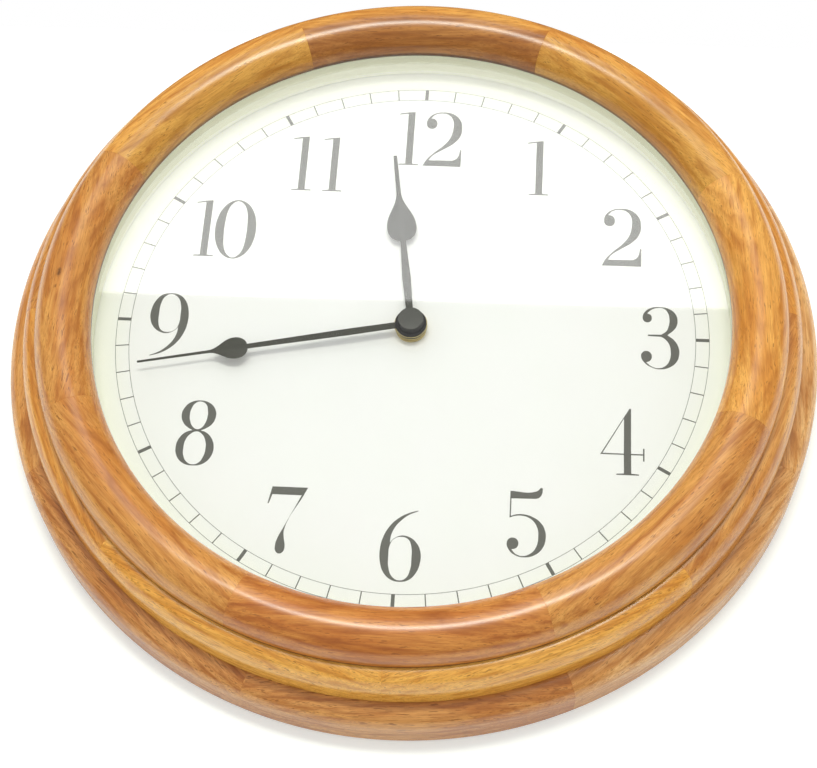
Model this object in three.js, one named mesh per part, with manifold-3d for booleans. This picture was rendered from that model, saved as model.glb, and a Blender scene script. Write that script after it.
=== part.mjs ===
// Round wooden quartz wall clock: a turned ring of glued staves in three tiers, a dial under glass,
// a pair of spade hands and a battery movement with its gear train, hung by a keyhole plate.
// Sizes are in millimetres. The clock is built flat: x towards 3, y towards 12, z out of the wall
// towards the viewer, with z = 0 in the wall plane and the dial's centre on the z axis. At the end
// it is turned to hang: +Z up, the dial facing -Y, the wall screw's axis through the origin.
import * as THREE from 'three';
import Module from 'manifold-3d';
import { mergeVertices } from 'three/addons/utils/BufferGeometryUtils.js';

const wasm = await Module();
wasm.setup();

// Gaps and overruns
const seatGap = 0.3; // between a piece and what it rests on, and along each glue line
const boreClearance = 0.6; // between the middle tier's bore and the glass, spacer and dial inside it
const pivotClearance = 0.3; // around each arbor in its hole
const cutOverrun = 1; // how far a cutting solid runs past the face it opens
const rootOverlap = 0.2; // how far a boss or post sinks into the wall it is joined to

// Dial, glass and backing board
const dialRadius = 160.2; // the glass and the spacer ring are as wide
const dialThickness = 2;
const glassThickness = 3;
const glassGap = 4.5; // between the hub cap and the glass
const spacerThickness = 1.3;
const boardThickness = 3;
const boardClearance = 1.5; // between the board's edge and the base tier's bore
const discSteps = 48;

// Wooden ring, whose radial sizes start at the middle tier's bore
const middleWallWidth = 31.5;
const middleRoundWidth = 7.7; // rounded front corner of the middle tier, measured along the radius
const middleRoundHeight = 12; // and along z
const baseBoreStep = 7.2; // how much wider the base tier's bore is
const baseFootWidth = 10.3; // how far the base tier stands out round the middle one
const baseRoundHeight = 9; // its rounded front corner, as wide as the foot
const backChamfer = 1.2;
const beadRadius = 13.6; // half-round front tier
const beadRise = 2.2; // bead centre above the front tier's back face
const lipOverlap = 4.2; // how far the front tier reaches in over the glass
const frontJointAngles = [20, 64, 110, 156, 203.7, 248, 296.5, 338.5]; // degrees clockwise from 12
const middleJointAngles = [43, 88, 134.5, 180.5, 226, 268, 313, 358];
const baseJointAngles = [20, 65, 110, 155, 199.5, 245, 290, 335];
const staveSteps = 6;
const beadArcSteps = 10;
const cornerArcSteps = 4;

// Screws that hold the board
const boardScrewAngles = [20, 140, 260];
const boardScrewInset = 2.8; // from the board's edge
const boardScrewShankRadius = 1.2;
const boardScrewLength = 13;
const screwHeadRadius = 2.9;
const screwHeadHeight = 1.8;
const screwSteps = 12;

// Keyhole hanger plate; the wall screw's axis is the centre of its slot's round end
const keyholeSlotRadius = 2.4;
const keyholeEntryRadius = 4.8;
const keyholeEntryDrop = 9; // entry hole's centre below the wall screw's axis
const plateInset = 17.6; // from the outside of the base tier to the plate's centre
const plateWidth = 48;
const plateTopRim = 4.6; // metal above the slot
const plateBottomRim = 1.2; // and below the entry hole
const plateThickness = 2;
const plateCornerRadius = 3;
const headPocketSideRoom = 3.2; // pocket for the screw's head, beside the entry hole
const headPocketEndRoom = 0.7; // and beyond the head's travel
const headPocketDepth = 12;
const plateScrewInset = 5; // from the plate's ends
const plateScrewShankRadius = 1.5;
const plateScrewHeadRadius = 3.2;
const plateScrewHeadHeight = 1.6;
const plateScrewLength = 15;

// Movement case
const caseCornerRadius = 4;
const caseFrontWall = 1.4;
const caseSideWall = 1.5;
const caseFloorWall = 1; // wall under the battery
const partitionWall = 1; // between the battery and the wheels
const coverThickness = 1.2;
const coverLedge = 1; // how far the cover overlaps the case's walls
const caseSteps = 3; // on half a rounded corner
const wheelClearance = 0.94; // between the centre wheel and the partition
const statorClearance = 1.9; // between the stator and the case's top wall
const rubberWasherThickness = 1;
const rubberWasherRadius = 11;
const casePostRadius = 1.5;
const casePostInset = 2.6; // post centres from the chamber's walls

// Battery and its contacts
const batteryRadius = 7.25;
const batteryLength = 49.3;
const batteryNubRadius = 2.7;
const batteryNubLength = 1.2;
const batteryCornerRadius = 0.8;
const batterySteps = 20;
const contactThickness = 0.5;
const contactHeight = 12;
const contactDepth = 10;
const springRadius = 3.2;
const pressedSpringHeight = 0.3; // least height of the spring on the minus contact

// Threaded bush with its washer and nut
const bushBoreRadius = 2.9;
const bushOuterRadius = 4;
const bushFlangeRadius = 6.2;
const bushFlangeThickness = 1.4;
const bushTopAboveDial = 3.6;
const washerRadius = 7.6;
const washerThickness = 0.8;
const nutAcrossCorners = 13;
const nutThickness = 1.8;
const roundSteps = 18;

// Heights in the movement, from the back of its case
const wheelThickness = 0.8;
const pinionOverrun = 0.3; // how far a pinion runs past the wheel it drives
const intermediateLevel = 2;
const secondsLevel = 3.5;
const thirdLevel = 5;
const centreLevel = 7.1;
const trainPlateLevel = 8.4;
const trainPlateThickness = 0.8;
const minuteLevel = 9.7;
const hourLevel = 11.4;
const statorLevel = 5.5;
const statorThickness = 0.8;
const circuitLevel = 5.6;

// Gear train: tooth counts, centre distances and the directions of the axes
const rotorTeeth = 6;
const intermediateTeeth = 45;
const intermediatePinionTeeth = 6;
const secondsTeeth = 24;
const secondsPinionTeeth = 6;
const thirdTeeth = 45;
const thirdPinionTeeth = 6;
const centreTeeth = 48;
const cannonTeeth = 8;
const minuteTeeth = 24;
const minutePinionTeeth = 8;
const hourTeeth = 32;
const knobTeeth = 8;
const rotorDistance = 8.5; // rotor axis to intermediate axis
const secondsDistance = 11; // intermediate axis to the hands' axis
const trainDistance = 10.8; // third axis to the hands' axis
const motionDistance = 9.6; // minute wheel's axis to the hands' axis
const rotorDirection = 10; // degrees anticlockwise from 3
const intermediateDirection = 75;
const thirdDirection = 150;
const minuteDirection = 20;
const knobDirection = -15;
// Tooth forms: heights as shares of the module, widths as shares of a tooth at the pitch circle
const wheelForm = {
  thicknessShare: 0.8, addendumShare: 0.9, dedendumShare: 1.2, rootShare: 1.35, tipShare: 0.5,
};
const pinionForm = {
  thicknessShare: 0.8, addendumShare: 0.8, dedendumShare: 1.25, rootShare: 1.25, tipShare: 0.5,
};

// Arbors and pivots
const pivotRadius = 0.5;
const pivotBossRadius = 1.1; // on the cover, clear of the seconds wheel's teeth
const postRadius = 1.5; // under the train plate, and round the knob's pivot
const pivotDepth = 0.9; // how far a pivot's hole reaches into the wall that holds it
const minuteArborRadius = 1.6;
const arborCollarRadius = 2.6;
const arborCollarThickness = 0.4;
const arborSocketRadius = 0.8;
const arborSocketDepth = 1.5;
const hourTubeRadius = 2.6;
const hourTubeBore = 1.9;
const minutePostRadius = 0.9;

// Setting knob
const knobRadius = 5;
const knobHeight = 2.1;
const knobRidgeDepth = 0.4;
const knobRidges = 16;
const knobWallGap = 2.2; // between the knob and the wall
const knobShaftRadius = 1.4;
const knobPivotRadius = 0.8;
const knobPivotLength = 1.2;

// Motor and circuit
const magnetRadius = 3;
const magnetThickness = 2.6;
const magnetLevel = 4.6;
const statorHoleRadius = 3.5;
const statorLegWidth = 7;
const statorEyeRadius = 5.2;
const statorArmWidth = 2.6;
const statorBelow = 8.3; // from the rotor's axis to the stator's lower edge
const statorAbove = 12.5; // and to its upper edge
const coilOffset = 8.9; // coil's axis beside the rotor's axis
const coilRadius = 3.2;
const coilLength = 13.5;
const coilFlangeThickness = 0.8;
const coilWindingInset = 0.5;
const coreWidth = 3;
const coreThickness = 0.8;
const circuitWidth = 22;
const circuitHeight = 8.5;
const circuitThickness = 1;
const crystalRadius = 1.3;
const crystalLength = 6.5;

// Hands: places along a hand are shares of its reach from the hands' axis
const hourHand = {
  direction: 352, tipInset: 57.6, neckShare: 0.78, bulbShare: 0.563, rootShare: 0.487, waistShare: 0.273,
  tipWidth: 1.6, neckWidth: 2.2, bulbWidth: 15.1, rootWidth: 2.8, waistWidth: 4.3, hubWidth: 3,
};
const minuteHand = {
  direction: 258.3, tipInset: 23.6, neckShare: 0.743, bulbShare: 0.643, rootShare: 0.599, waistShare: 0.234,
  tipWidth: 1, neckWidth: 1.4, bulbWidth: 11.8, rootWidth: 2.5, waistWidth: 3.6, hubWidth: 3.2,
};
const handThickness = 0.5;
const handBossRadius = 8.2;
const hourBossThickness = 1.1;
const minuteBossThickness = 1.8;
const handPlay = 0.6; // between the two bosses
const bulbRoundShare = 0.58; // how full the round end of a spade is
const bulbTaperShare = 0.42; // how long its shoulders hold before they draw in
const handArcSteps = 7;
const capRadius = 6.6;
const capHeight = 3.8;
const capEdgeRadius = 0.8;
const capSocketDepth = 1.6;

// Radii of the ring, worked out from the dial's
const middleBoreRadius = dialRadius + boreClearance;
const middleOuterRadius = middleBoreRadius + middleWallWidth;
const middleShoulderRadius = middleOuterRadius - middleRoundWidth;
const baseBoreRadius = middleBoreRadius + baseBoreStep;
const baseOuterRadius = middleOuterRadius + baseFootWidth;
const lipRadius = middleBoreRadius - lipOverlap;
const beadCentreRadius = lipRadius + beadRadius;
const boardRadius = baseBoreRadius - boardClearance;
const boardScrewRing = boardRadius - boardScrewInset;

// Hanger plate, from the wall screw's axis
const plateTop = keyholeSlotRadius + plateTopRim;
const plateBottom = -(keyholeEntryDrop + keyholeEntryRadius + plateBottomRim);
const plateCentreY = (plateTop + plateBottom) / 2;
const plateHeight = plateTop - plateBottom;
const hangerHeight = baseOuterRadius - plateInset - plateCentreY;

// Axes and gears of the movement, from the hands' axis
const handAxis = new THREE.Vector2();
const intermediateAxis = polar(secondsDistance, intermediateDirection);
const rotorAxis = intermediateAxis.clone().add(polar(rotorDistance, rotorDirection));
const thirdAxis = polar(trainDistance, thirdDirection);
const minuteAxis = polar(motionDistance, minuteDirection);
const rotorPinion = pinion(rotorAxis, rotorTeeth, rotorDistance, intermediateTeeth);
const intermediatePinion = pinion(intermediateAxis, intermediatePinionTeeth, secondsDistance, secondsTeeth);
const secondsPinion = pinion(handAxis, secondsPinionTeeth, trainDistance, thirdTeeth);
const thirdPinion = pinion(thirdAxis, thirdPinionTeeth, trainDistance, centreTeeth);
const cannonPinion = pinion(handAxis, cannonTeeth, motionDistance, minuteTeeth);
const minutePinion = pinion(minuteAxis, minutePinionTeeth, motionDistance, hourTeeth);
const intermediateGear = wheel(rotorPinion, intermediateAxis, intermediateTeeth);
const secondsGear = wheel(intermediatePinion, handAxis, secondsTeeth);
const thirdGear = wheel(secondsPinion, thirdAxis, thirdTeeth);
const centreGear = wheel(thirdPinion, handAxis, centreTeeth);
const minuteGear = wheel(cannonPinion, minuteAxis, minuteTeeth);
const hourGear = wheel(minutePinion, handAxis, hourTeeth);
const knobDistance = cannonPinion.module * (knobTeeth + minuteTeeth) / 2;
const knobAxis = minuteAxis.clone().add(polar(knobDistance, knobDirection));
const knobGear = meshedGear(minuteGear, { axis: knobAxis, teeth: knobTeeth, form: pinionForm });

// Plan of the movement, from the hands' axis
const statorBottom = rotorAxis.y - statorBelow;
const statorTop = rotorAxis.y + statorAbove;
const coilX = rotorAxis.x + coilOffset;
const cellLength = batteryLength + batteryNubLength;
const batteryRoom = cellLength + pressedSpringHeight + 2 * contactThickness + 4 * seatGap;
const chamberHalf = Math.max(batteryRoom / 2, coilX + coilRadius + seatGap);
const chamberTop = statorTop + statorClearance;
const chamberBottom = -(tipRadius(centreGear) + wheelClearance);
const bayTop = chamberBottom - partitionWall;
const bayBottom = bayTop - 2 * (batteryRadius + seatGap);
const caseTop = chamberTop + caseSideWall;
const caseBottom = bayBottom - caseFloorWall;
const postPlaces = [-1, 1].flatMap((side) => [chamberBottom + casePostInset, chamberTop - casePostInset]
  .map((y) => new THREE.Vector2(side * (chamberHalf - casePostInset), y)));

// Heights from the back of the movement's case
const trainRoom = hourLevel + wheelThickness + bushFlangeThickness + 2 * seatGap;
const chamberFront = Math.max(2 * (batteryRadius + seatGap), trainRoom);
const caseDepth = chamberFront + caseFrontWall;
const batteryLevel = chamberFront - seatGap - batteryRadius;
const trainPlateFront = trainPlateLevel + trainPlateThickness;
const pivotBack = coverThickness - pivotDepth + seatGap;
const pivotFront = trainPlateLevel + pivotDepth - seatGap;
const boardLevel = caseDepth + seatGap + rubberWasherThickness + seatGap;
const dialLevel = boardLevel + boardThickness + seatGap + dialThickness;
const bushTop = dialLevel + bushTopAboveDial;
const hourBossBack = bushTop + seatGap;
const hourBossFront = hourBossBack + hourBossThickness;
const minuteBossBack = hourBossFront + handPlay;
const minuteBossFront = minuteBossBack + minuteBossThickness;
const capBack = minuteBossFront + seatGap;
const capFront = capBack + capHeight;

// Heights from the wall
const caseBack = knobWallGap + knobHeight + seatGap;
const boardBack = caseBack + boardLevel;
const boardFront = boardBack + boardThickness;
const baseLayerDepth = boardFront;
const middleBack = boardFront + seatGap;
const dialFace = middleBack + dialThickness;
const glassBack = caseBack + capFront + glassGap;
const middleFront = glassBack + glassThickness;
const frontBack = middleFront + seatGap;

const finishes = {
  wood: new THREE.MeshStandardMaterial({ color: 0xc07f42, roughness: 0.35 }),
  glass: new THREE.MeshStandardMaterial({
    color: 0xe4efec, roughness: 0.03, transparent: true, opacity: 0.25,
  }),
  paper: new THREE.MeshStandardMaterial({ color: 0xfafbf3, roughness: 0.6 }),
  card: new THREE.MeshStandardMaterial({ color: 0xe6e6d6, roughness: 0.8 }),
  hardboard: new THREE.MeshStandardMaterial({ color: 0x7b5636, roughness: 0.8 }),
  blackPaint: new THREE.MeshStandardMaterial({ color: 0x2b2b28, roughness: 0.45 }),
  blackPlastic: new THREE.MeshStandardMaterial({ color: 0x1d1d1e, roughness: 0.5 }),
  whitePlastic: new THREE.MeshStandardMaterial({ color: 0xe9e8e0, roughness: 0.5 }),
  rubber: new THREE.MeshStandardMaterial({ color: 0x171717, roughness: 0.9 }),
  brass: new THREE.MeshStandardMaterial({ color: 0xb99a55, roughness: 0.3, metalness: 1 }),
  steel: new THREE.MeshStandardMaterial({ color: 0xb4b6b8, roughness: 0.35, metalness: 1 }),
  copper: new THREE.MeshStandardMaterial({ color: 0xb5612f, roughness: 0.4, metalness: 1 }),
  magnet: new THREE.MeshStandardMaterial({ color: 0x4a4a4e, roughness: 0.5, metalness: 0.6 }),
  circuit: new THREE.MeshStandardMaterial({ color: 0x2f6b45, roughness: 0.6 }),
  wrapper: new THREE.MeshStandardMaterial({ color: 0x2e3338, roughness: 0.35 }),
};

// Solids

// Merges a geometry's shared corners and drops its collapsed triangles.
function weld(geometry) {
  const bare = geometry.index ? geometry.toNonIndexed() : geometry.clone();
  bare.deleteAttribute('normal');
  bare.deleteAttribute('uv');
  const merged = mergeVertices(bare);
  const corners = merged.index.array;
  const kept = [];
  for (let i = 0; i < corners.length; i += 3) {
    const [a, b, c] = corners.slice(i, i + 3);
    if (a !== b && b !== c && c !== a) kept.push(a, b, c);
  }
  merged.setIndex(kept);
  return merged;
}

function solidOf(geometry) {
  const welded = weld(geometry);
  return new wasm.Manifold(new wasm.Mesh({
    numProp: 3,
    vertProperties: new Float32Array(welded.attributes.position.array),
    triVerts: new Uint32Array(welded.index.array),
  }));
}

function geometryOf(solid) {
  const mesh = solid.getMesh();
  const geometry = new THREE.BufferGeometry();
  geometry.setAttribute('position', new THREE.BufferAttribute(mesh.vertProperties, 3));
  geometry.setIndex(new THREE.BufferAttribute(mesh.triVerts, 1));
  return geometry;
}

// Joins the solids of some geometries, then cuts others out of them.
function carve(joined, removed = []) {
  let solid = solidOf(joined[0]);
  joined.slice(1).forEach((geometry) => { solid = solid.add(solidOf(geometry)); });
  removed.forEach((geometry) => { solid = solid.subtract(solidOf(geometry)); });
  return geometryOf(solid);
}

// An upright plate with the given outline, from one height to another.
function plate(shape, from, to) {
  const settings = { depth: to - from, bevelEnabled: false, curveSegments: caseSteps };
  return new THREE.ExtrudeGeometry(shape, settings).translate(0, 0, from);
}

function rod(radius, from, to, steps = screwSteps) {
  const geometry = new THREE.CylinderGeometry(radius, radius, to - from, steps);
  return geometry.rotateX(Math.PI / 2).translate(0, 0, (from + to) / 2);
}

function moved(geometry, place) {
  return geometry.clone().translate(place.x, place.y, 0);
}

function washer(radius, bore, from, to, steps = roundSteps) {
  return ring([
    new THREE.Vector2(bore, from), new THREE.Vector2(radius, from),
    new THREE.Vector2(radius, to), new THREE.Vector2(bore, to),
  ], steps);
}

// A full turn of a closed profile whose x is the radius and y the height.
function ring(profile, steps) {
  return weld(new THREE.LatheGeometry([...profile, profile[0]], steps).rotateX(Math.PI / 2));
}

function spun(profile, steps) {
  return weld(new THREE.LatheGeometry(profile, steps).rotateX(Math.PI / 2));
}

// A closed profile turned from one clock angle to another, with flat ends.
function sector(profile, fromAngle, toAngle) {
  const from = THREE.MathUtils.degToRad(fromAngle);
  const to = THREE.MathUtils.degToRad(toAngle);
  const skin = new THREE.LatheGeometry([...profile, profile[0]], staveSteps, Math.PI - to, to - from);
  const rowLength = profile.length + 1;
  const faces = Array.from(skin.index.array, (corner) => (
    corner % rowLength === profile.length ? corner - profile.length : corner
  ));
  const lastRow = staveSteps * rowLength;
  THREE.ShapeUtils.triangulateShape(profile, []).forEach(([a, b, c]) => {
    faces.push(a, b, c, lastRow + c, lastRow + b, lastRow + a);
  });
  skin.setIndex(faces);
  return weld(skin.rotateX(Math.PI / 2));
}

function arc(centre, radii, fromAngle, toAngle, steps) {
  return new THREE.EllipseCurve(centre.x, centre.y, radii.x, radii.y, fromAngle, toAngle).getPoints(steps);
}

function box(low, high) {
  const size = new THREE.Vector3().subVectors(high, low);
  const centre = new THREE.Vector3().addVectors(high, low).multiplyScalar(0.5);
  return new THREE.BoxGeometry(size.x, size.y, size.z).translate(centre.x, centre.y, centre.z);
}

function roundedRectangle(width, height, radius) {
  const [x, y] = [width / 2, height / 2];
  const shape = new THREE.Shape();
  shape.moveTo(radius - x, -y);
  shape.absarc(x - radius, radius - y, radius, -Math.PI / 2, 0);
  shape.absarc(x - radius, y - radius, radius, 0, Math.PI / 2);
  shape.absarc(radius - x, y - radius, radius, Math.PI / 2, Math.PI);
  shape.absarc(radius - x, radius - y, radius, Math.PI, Math.PI * 1.5);
  return shape;
}

// Places

function polar(distance, degrees) {
  return new THREE.Vector2(distance, 0).rotateAround(new THREE.Vector2(), THREE.MathUtils.degToRad(degrees));
}

function clockPlace(radius, clockAngle) {
  const angle = THREE.MathUtils.degToRad(clockAngle);
  return new THREE.Vector2(radius * Math.sin(angle), radius * Math.cos(angle));
}

function at(place, height = 0) {
  return new THREE.Vector3(place.x, place.y, height);
}

function piece(parent, name, geometry, material, place = new THREE.Vector3()) {
  const mesh = new THREE.Mesh(geometry, material);
  mesh.name = name;
  mesh.position.copy(place);
  parent.add(mesh);
  return mesh;
}

// Wooden ring

function beadProfile() {
  const centre = new THREE.Vector2(beadCentreRadius, frontBack + beadRise);
  const outerEnd = -Math.asin(beadRise / beadRadius);
  const radii = new THREE.Vector2(beadRadius, beadRadius);
  return [new THREE.Vector2(lipRadius, frontBack), ...arc(centre, radii, outerEnd, Math.PI, beadArcSteps)];
}

function middleProfile() {
  const corner = new THREE.Vector2(middleShoulderRadius, middleFront - middleRoundHeight);
  const radii = new THREE.Vector2(middleOuterRadius - middleShoulderRadius, middleRoundHeight);
  return [
    new THREE.Vector2(middleBoreRadius, middleBack),
    new THREE.Vector2(middleOuterRadius, middleBack),
    ...arc(corner, radii, 0, Math.PI / 2, cornerArcSteps),
    new THREE.Vector2(middleBoreRadius, middleFront),
  ];
}

function baseProfile() {
  const corner = new THREE.Vector2(middleOuterRadius, baseLayerDepth - baseRoundHeight);
  const radii = new THREE.Vector2(baseOuterRadius - middleOuterRadius, baseRoundHeight);
  return [
    new THREE.Vector2(baseBoreRadius, 0),
    new THREE.Vector2(baseOuterRadius - backChamfer, 0),
    new THREE.Vector2(baseOuterRadius, backChamfer),
    ...arc(corner, radii, 0, Math.PI / 2, cornerArcSteps),
    new THREE.Vector2(baseBoreRadius, baseLayerDepth),
  ];
}

// One layer of staves; a glue line of half the seat gap is left at each end of each stave.
function addLayer(parent, layerName, profile, jointAngles, radius, holes = []) {
  const glueAngle = THREE.MathUtils.radToDeg(seatGap / 2 / radius);
  jointAngles.forEach((from, i) => {
    const next = jointAngles[(i + 1) % jointAngles.length];
    const to = next > from ? next : next + 360;
    const stave = sector(profile, from + glueAngle, to - glueAngle);
    const cuts = holes.filter(({ angle }) => (angle - from + 360) % 360 < to - from);
    const geometry = cuts.length ? carve([stave], cuts.map(({ tool }) => tool)) : stave;
    piece(parent, `${layerName}_stave_${i + 1}`, geometry, finishes.wood);
  });
}

function boardScrewHoles() {
  const depth = boardScrewLength + seatGap;
  return boardScrewAngles.map((angle) => {
    const hole = rod(boardScrewShankRadius + seatGap, middleBack - cutOverrun, boardBack + depth);
    return { angle, tool: moved(hole, clockPlace(boardScrewRing, angle)) };
  });
}

// Places of the hanger plate's screws, from the wall screw's axis.
function plateScrewPlaces() {
  const sideways = plateWidth / 2 - plateScrewInset;
  return [-1, 1].map((side) => new THREE.Vector2(side * sideways, plateCentreY));
}

function hangerRecess() {
  const centreY = hangerHeight + plateCentreY;
  const seat = roundedRectangle(
    plateWidth + 2 * seatGap,
    plateHeight + 2 * seatGap,
    plateCornerRadius + seatGap,
  );
  const bed = plate(seat, -cutOverrun, plateThickness + seatGap).translate(0, centreY, 0);
  const pocketHalf = keyholeEntryRadius + headPocketSideRoom;
  const travelEnd = keyholeEntryRadius + headPocketEndRoom;
  const headRoom = box(
    new THREE.Vector3(-pocketHalf, hangerHeight - keyholeEntryDrop - travelEnd, -cutOverrun),
    new THREE.Vector3(pocketHalf, hangerHeight + travelEnd, headPocketDepth),
  );
  const screwHoles = plateScrewPlaces().map((place) => moved(
    rod(plateScrewShankRadius + seatGap, 0, plateScrewLength + seatGap),
    place.setY(centreY),
  ));
  return { angle: 0, tool: carve([bed, headRoom, ...screwHoles]) };
}

function addRing(parent) {
  addLayer(parent, 'base', baseProfile(), baseJointAngles, baseOuterRadius, [hangerRecess()]);
  addLayer(parent, 'middle', middleProfile(), middleJointAngles, middleOuterRadius, boardScrewHoles());
  addLayer(parent, 'front', beadProfile(), frontJointAngles, beadCentreRadius);
}

// Dial, glass, spacer and board

function circlePoints(place, radius, steps) {
  return new THREE.Path().absarc(place.x, place.y, radius, 0, 2 * Math.PI).getPoints(steps / 2);
}

function discWithHoles(radius, holes, from, to) {
  const shape = new THREE.Shape(circlePoints(new THREE.Vector2(), radius, discSteps));
  shape.holes = holes.map(({ place, bore, steps }) => new THREE.Path(circlePoints(place, bore, steps)));
  return weld(plate(shape, from, to));
}

function addFace(parent) {
  const bushHole = { place: new THREE.Vector2(), bore: bushOuterRadius + seatGap, steps: roundSteps };
  const screwHoles = boardScrewAngles.map((angle) => ({
    place: clockPlace(boardScrewRing, angle), bore: boardScrewShankRadius + seatGap, steps: screwSteps,
  }));
  piece(parent, 'glass', rod(dialRadius, glassBack, middleFront, discSteps), finishes.glass);
  piece(parent, 'spacer_ring', washer(
    dialRadius,
    dialRadius - spacerThickness,
    dialFace + seatGap,
    glassBack - seatGap,
    discSteps,
  ), finishes.card);
  piece(parent, 'dial', discWithHoles(dialRadius, [bushHole], middleBack, dialFace), finishes.paper);
  const board = discWithHoles(boardRadius, [bushHole, ...screwHoles], boardBack, boardFront);
  piece(parent, 'backing_board', board, finishes.hardboard);
  boardScrewAngles.forEach((angle, i) => {
    const head = boardBack - seatGap;
    const screw = panScrew(boardScrewShankRadius, screwHeadRadius, screwHeadHeight, boardScrewLength);
    const place = clockPlace(boardScrewRing, angle);
    piece(parent, `board_screw_${i + 1}`, screw, finishes.steel, at(place, head));
  });
}

// A pan-head screw whose head rests below z = 0, with its shank and point above it.
function panScrew(shankRadius, headRadius, headHeight, length) {
  const point = length - 2 * shankRadius;
  return spun([
    new THREE.Vector2(0, -headHeight),
    new THREE.Vector2(headRadius - headHeight / 2, -headHeight),
    new THREE.Vector2(headRadius, -headHeight / 2),
    new THREE.Vector2(headRadius, 0),
    new THREE.Vector2(shankRadius, 0),
    new THREE.Vector2(shankRadius, point),
    new THREE.Vector2(0, length),
  ], screwSteps);
}

// A screw whose tapered head is flush at z = 0, with its shank and point above it.
function countersunkScrew(shankRadius, headRadius, headHeight, length) {
  return spun([
    new THREE.Vector2(0, 0),
    new THREE.Vector2(headRadius, 0),
    new THREE.Vector2(shankRadius, headHeight),
    new THREE.Vector2(shankRadius, length - 2 * shankRadius),
    new THREE.Vector2(0, length),
  ], screwSteps);
}

// Keyhole hanger

function keyholePath() {
  const path = new THREE.Path();
  const meet = Math.sqrt(keyholeEntryRadius ** 2 - keyholeSlotRadius ** 2);
  const entryAngle = Math.atan2(meet, keyholeSlotRadius);
  path.absarc(0, 0, keyholeSlotRadius, 0, Math.PI);
  path.absarc(0, -keyholeEntryDrop, keyholeEntryRadius, Math.PI - entryAngle, 2 * Math.PI + entryAngle);
  return new THREE.Path(path.getPoints(screwSteps / 2).reverse());
}

// The countersunk hole for a plate screw, with its clearance.
function countersink(place) {
  const bore = plateScrewShankRadius + seatGap;
  return moved(spun([
    new THREE.Vector2(0, -cutOverrun),
    new THREE.Vector2(plateScrewHeadRadius + seatGap, -cutOverrun),
    new THREE.Vector2(plateScrewHeadRadius + seatGap, 0),
    new THREE.Vector2(bore, plateScrewHeadHeight),
    new THREE.Vector2(bore, plateThickness + cutOverrun),
    new THREE.Vector2(0, plateThickness + cutOverrun),
  ], screwSteps), place);
}

function addHanger(parent) {
  const outline = roundedRectangle(plateWidth, plateHeight, plateCornerRadius);
  const points = outline.getPoints(caseSteps);
  const shape = new THREE.Shape(points.map((point) => point.setY(point.y + plateCentreY)));
  shape.holes.push(keyholePath());
  const places = plateScrewPlaces();
  const hanger = carve([plate(shape, 0, plateThickness)], places.map(countersink));
  const bearing = new THREE.Vector3(0, hangerHeight, 0);
  piece(parent, 'keyhole_plate', hanger, finishes.steel, bearing);
  places.forEach((place, i) => {
    const screw = countersunkScrew(
      plateScrewShankRadius,
      plateScrewHeadRadius,
      plateScrewHeadHeight,
      plateScrewLength,
    );
    piece(parent, `keyhole_screw_${i + 1}`, screw, finishes.steel, at(place).add(bearing));
  });
}

// Gears

// Outline of a toothed wheel whose first tooth points along the angle turn.
function toothedShape(teeth, module, form, turn) {
  const pitchRadius = teeth * module / 2;
  const pitchAngle = 2 * Math.PI / teeth;
  const half = pitchAngle / 4 * form.thicknessShare;
  const root = pitchRadius - form.dedendumShare * module;
  const tip = tipRadius({ teeth, module, form });
  const [rootHalf, tipHalf] = [half * form.rootShare, half * form.tipShare];
  const corners = [[root, -rootHalf], [tip, -tipHalf], [tip, tipHalf], [root, rootHalf]];
  const points = [];
  for (let i = 0; i < teeth; i += 1) {
    corners.forEach(([radius, angle]) => {
      points.push(new THREE.Vector2(radius, 0).rotateAround(handAxis, turn + i * pitchAngle + angle));
    });
  }
  return new THREE.Shape(points);
}

function toothed(gear, from, to) {
  return plate(toothedShape(gear.teeth, gear.module, gear.form, gear.turn), from, to);
}

// A gear in mesh with a driver that is already placed: a gap of the one faces a tooth of the other.
function meshedGear(driver, gear) {
  const line = gear.axis.clone().sub(driver.axis);
  const direction = line.angle();
  const driverPitch = 2 * Math.PI / driver.teeth;
  const offset = THREE.MathUtils.euclideanModulo(direction - driver.turn, driverPitch);
  const turn = direction + Math.PI + offset * driver.teeth / gear.teeth + Math.PI / gear.teeth;
  return { ...gear, module: driver.module, turn };
}

function pinion(axis, teeth, distance, otherTeeth) {
  return { axis, teeth, module: 2 * distance / (teeth + otherTeeth), form: pinionForm, turn: 0 };
}

function wheel(driver, axis, teeth) {
  return meshedGear(driver, { axis, teeth, form: wheelForm });
}

function tipRadius(gear) {
  return gear.module * (gear.teeth / 2 + gear.form.addendumShare);
}

// A wheel with its pinion and an arbor that turns in the cover and in the train plate.
function addArbor(parent, name, gear, level, itsPinion, drivenLevel, arborTop) {
  const pinionTop = drivenLevel + wheelThickness + pinionOverrun;
  const geometry = carve([
    toothed(gear, level, level + wheelThickness),
    toothed(itsPinion, level, pinionTop),
    rod(pivotRadius, pivotBack, arborTop),
  ]);
  piece(parent, name, geometry, finishes.whitePlastic, at(gear.axis));
}

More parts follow.
